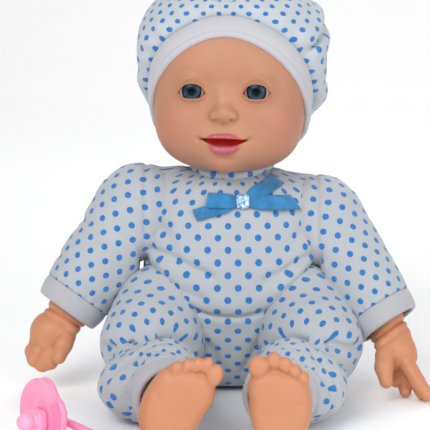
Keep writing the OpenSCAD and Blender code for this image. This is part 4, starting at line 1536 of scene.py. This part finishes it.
def add_dummy():
    pink = plain_material("dummy_pink", PINK, 0.22, bump=0.01, grain=700, vary=0.06,
                          Coat_Weight=0.5, Coat_Roughness=0.08)
    soft_pink = plain_material("dummy_teat_pink", PINK_SOFT, 0.3, bump=0.015, grain=900,
                               vary=0.06, Subsurface_Weight=0.2, Subsurface_Scale=0.003)
    piece, _ = add_form_at("pacifier_shield", "dummy_shield", shield_field, 3, 0.6, "pacifier")
    dress(piece, "pink_plastic", pink, "pacifier_shield")
    piece, _ = add_form_at("pacifier_nipple", "dummy_teat", teat_field, 2, 0.5, "pacifier")
    dress(piece, "pink_plastic", soft_pink, "pacifier_nipple")
    paint_nodes(["pacifier_knob", "pacifier_ring"], pink)


# ---------------------------------------------------------------- CAD nodes that stay


def paint_nodes(nodes, material):
    for node in nodes:
        paint(frame["nodes"][node], material)


def paint_cad():
    """Materials of the hard parts whose CAD shape is kept."""
    kept = {
        ("box_abs", (0.78, 0.77, 0.73), 0.5): ("sound_box_front", "sound_box_back"),
        ("door_abs", (0.7, 0.69, 0.66), 0.55): ("battery_door",),
        ("button_abs", (0.82, 0.8, 0.7), 0.45): ("tummy_button",),
        ("switch_black", (0.02, 0.02, 0.022), 0.42): ("power_switch", "tact_switch",
                                                       "mouth_switch"),
        ("speaker_cone", (0.03, 0.03, 0.032), 0.7): ("speaker",),
        ("board_green", (0.02, 0.16, 0.06), 0.4): ("circuit_board",),
        ("wire_red", (0.5, 0.02, 0.015), 0.45): ("wire_harness",),
        ("neck_abs", (0.72, 0.66, 0.58), 0.5): ("neck_joint", "neck_bearing"),
    }
    for look, nodes in kept.items():
        paint_nodes(nodes, plain_material(*look))
    paint_nodes(["batteries"], plain_material("cell_jacket", (0.1, 0.12, 0.16), 0.3, Metallic=0.5))
    paint_nodes(["battery_contacts", "battery_door_screw", "case_screws", "button_spring",
                 "pacifier_magnet"],
                plain_material("screw_steel", (0.55, 0.55, 0.56), 0.3, bump=0.02, Metallic=1.0))
    ties = [f"{s}_{part}" for s in SIDES for part in ("wrist_tie", "ankle_tie")]
    paint_nodes(ties + ["neck_tie"],
                plain_material("tie_nylon", (0.75, 0.75, 0.74), 0.45, bump=0.03))

# ---------------------------------------------------------------- floor, light and camera


def add_stage():
    """A plain pale floor that curves up into its backdrop."""
    points = []
    profile = [(6.0, 0.0), (-1.2, 0.0)] + [
        (-1.2 - 0.5 * math.sin(a), 0.5 - 0.5 * math.cos(a))
        for a in np.radians([15, 30, 45, 60, 75, 90])] + [(-1.7, 2.6)]
    for x in (-6.0, 6.0):
        points += [(x / MM, -y / MM, z / MM) for y, z in profile]
    n = len(profile)
    faces = [(i, i + 1, n + i + 1, n + i) for i in range(n - 1)]
    floor = add_mesh("floor", points, faces)
    s = Shader("floor_paper", 0.9, Specular_IOR_Level=0.1)
    grain = s.step(s.noise(400, 2), 0.2, 0.8)
    s.colour(s.mix(grain, (0.93, 0.93, 0.935), (0.96, 0.96, 0.965)))
    paint(floor, s.material)
    floor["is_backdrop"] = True


def add_light(name, place, aim, size, power):
    """A round soft lamp that faces a point."""
    data = bpy.data.lights.new(name, "AREA")
    data.shape = "DISK"
    data.size = size
    data.energy = power
    lamp = bpy.data.objects.new(name, data)
    lamp.location = place
    lamp.rotation_mode = "QUATERNION"
    lamp.rotation_quaternion = (Vector(aim) - Vector(place)).to_track_quat("-Z", "Y")
    bpy.context.scene.collection.objects.link(lamp)


def add_studio():
    """A pale world with soft lamps in front of the doll on both sides and behind it."""
    world = bpy.data.worlds.new("studio")
    world.use_nodes = True
    background = world.node_tree.nodes["Background"]
    background.inputs["Color"].default_value = (1, 1, 1, 1)
    background.inputs["Strength"].default_value = 0.55
    bpy.context.scene.world = world
    chest = (0, 0, 0.12)
    add_light("key", (-0.55, -1.15, 1.0), chest, 0.9, 12)
    add_light("fill", (0.8, -1.25, 0.55), chest, 1.0, 8)
    add_light("back", (0.3, 1.1, 1.3), chest, 0.9, 8)
    bpy.context.scene.view_settings.view_transform = "Standard"


def add_camera():
    """A long lens a little above the doll's chest."""
    target = Vector((-0.0096, 0.0, 0.1015))
    height = math.radians(9.75)
    back = Vector((0, -math.cos(height), math.sin(height)))
    data = bpy.data.cameras.new("camera")
    data.lens = 146.5
    data.sensor_width = 36
    camera = bpy.data.objects.new("camera", data)
    camera.location = target + back * 1.05
    camera.rotation_mode = "QUATERNION"
    camera.rotation_quaternion = (-back).to_track_quat("-Z", "Y")
    bpy.context.scene.collection.objects.link(camera)
    bpy.context.scene.camera = camera


def write_sizes():
    """Both boxes, the CAD's and the looks', as lists of corners."""
    boxes = {"cad": CAD_BOX, "visual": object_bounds()}
    sizes = {name: [list(corner) for corner in box] for name, box in boxes.items()}


add_camera()
add_studio()
add_stage()
add_head()
for side in SIDES:
    add_eye(side)
add_mouth_cup()
add_hat()
add_band()
add_torso()
add_collar()
for side in SIDES:
    add_sleeve(side)
    add_cuff(side, "arm")
    add_trousers(side)
    add_cuff(side, "leg")
    add_hand(side)
    add_foot(side)
add_bow()
add_knot()
add_closure()
add_dummy()
paint_cad()
write_sizes()
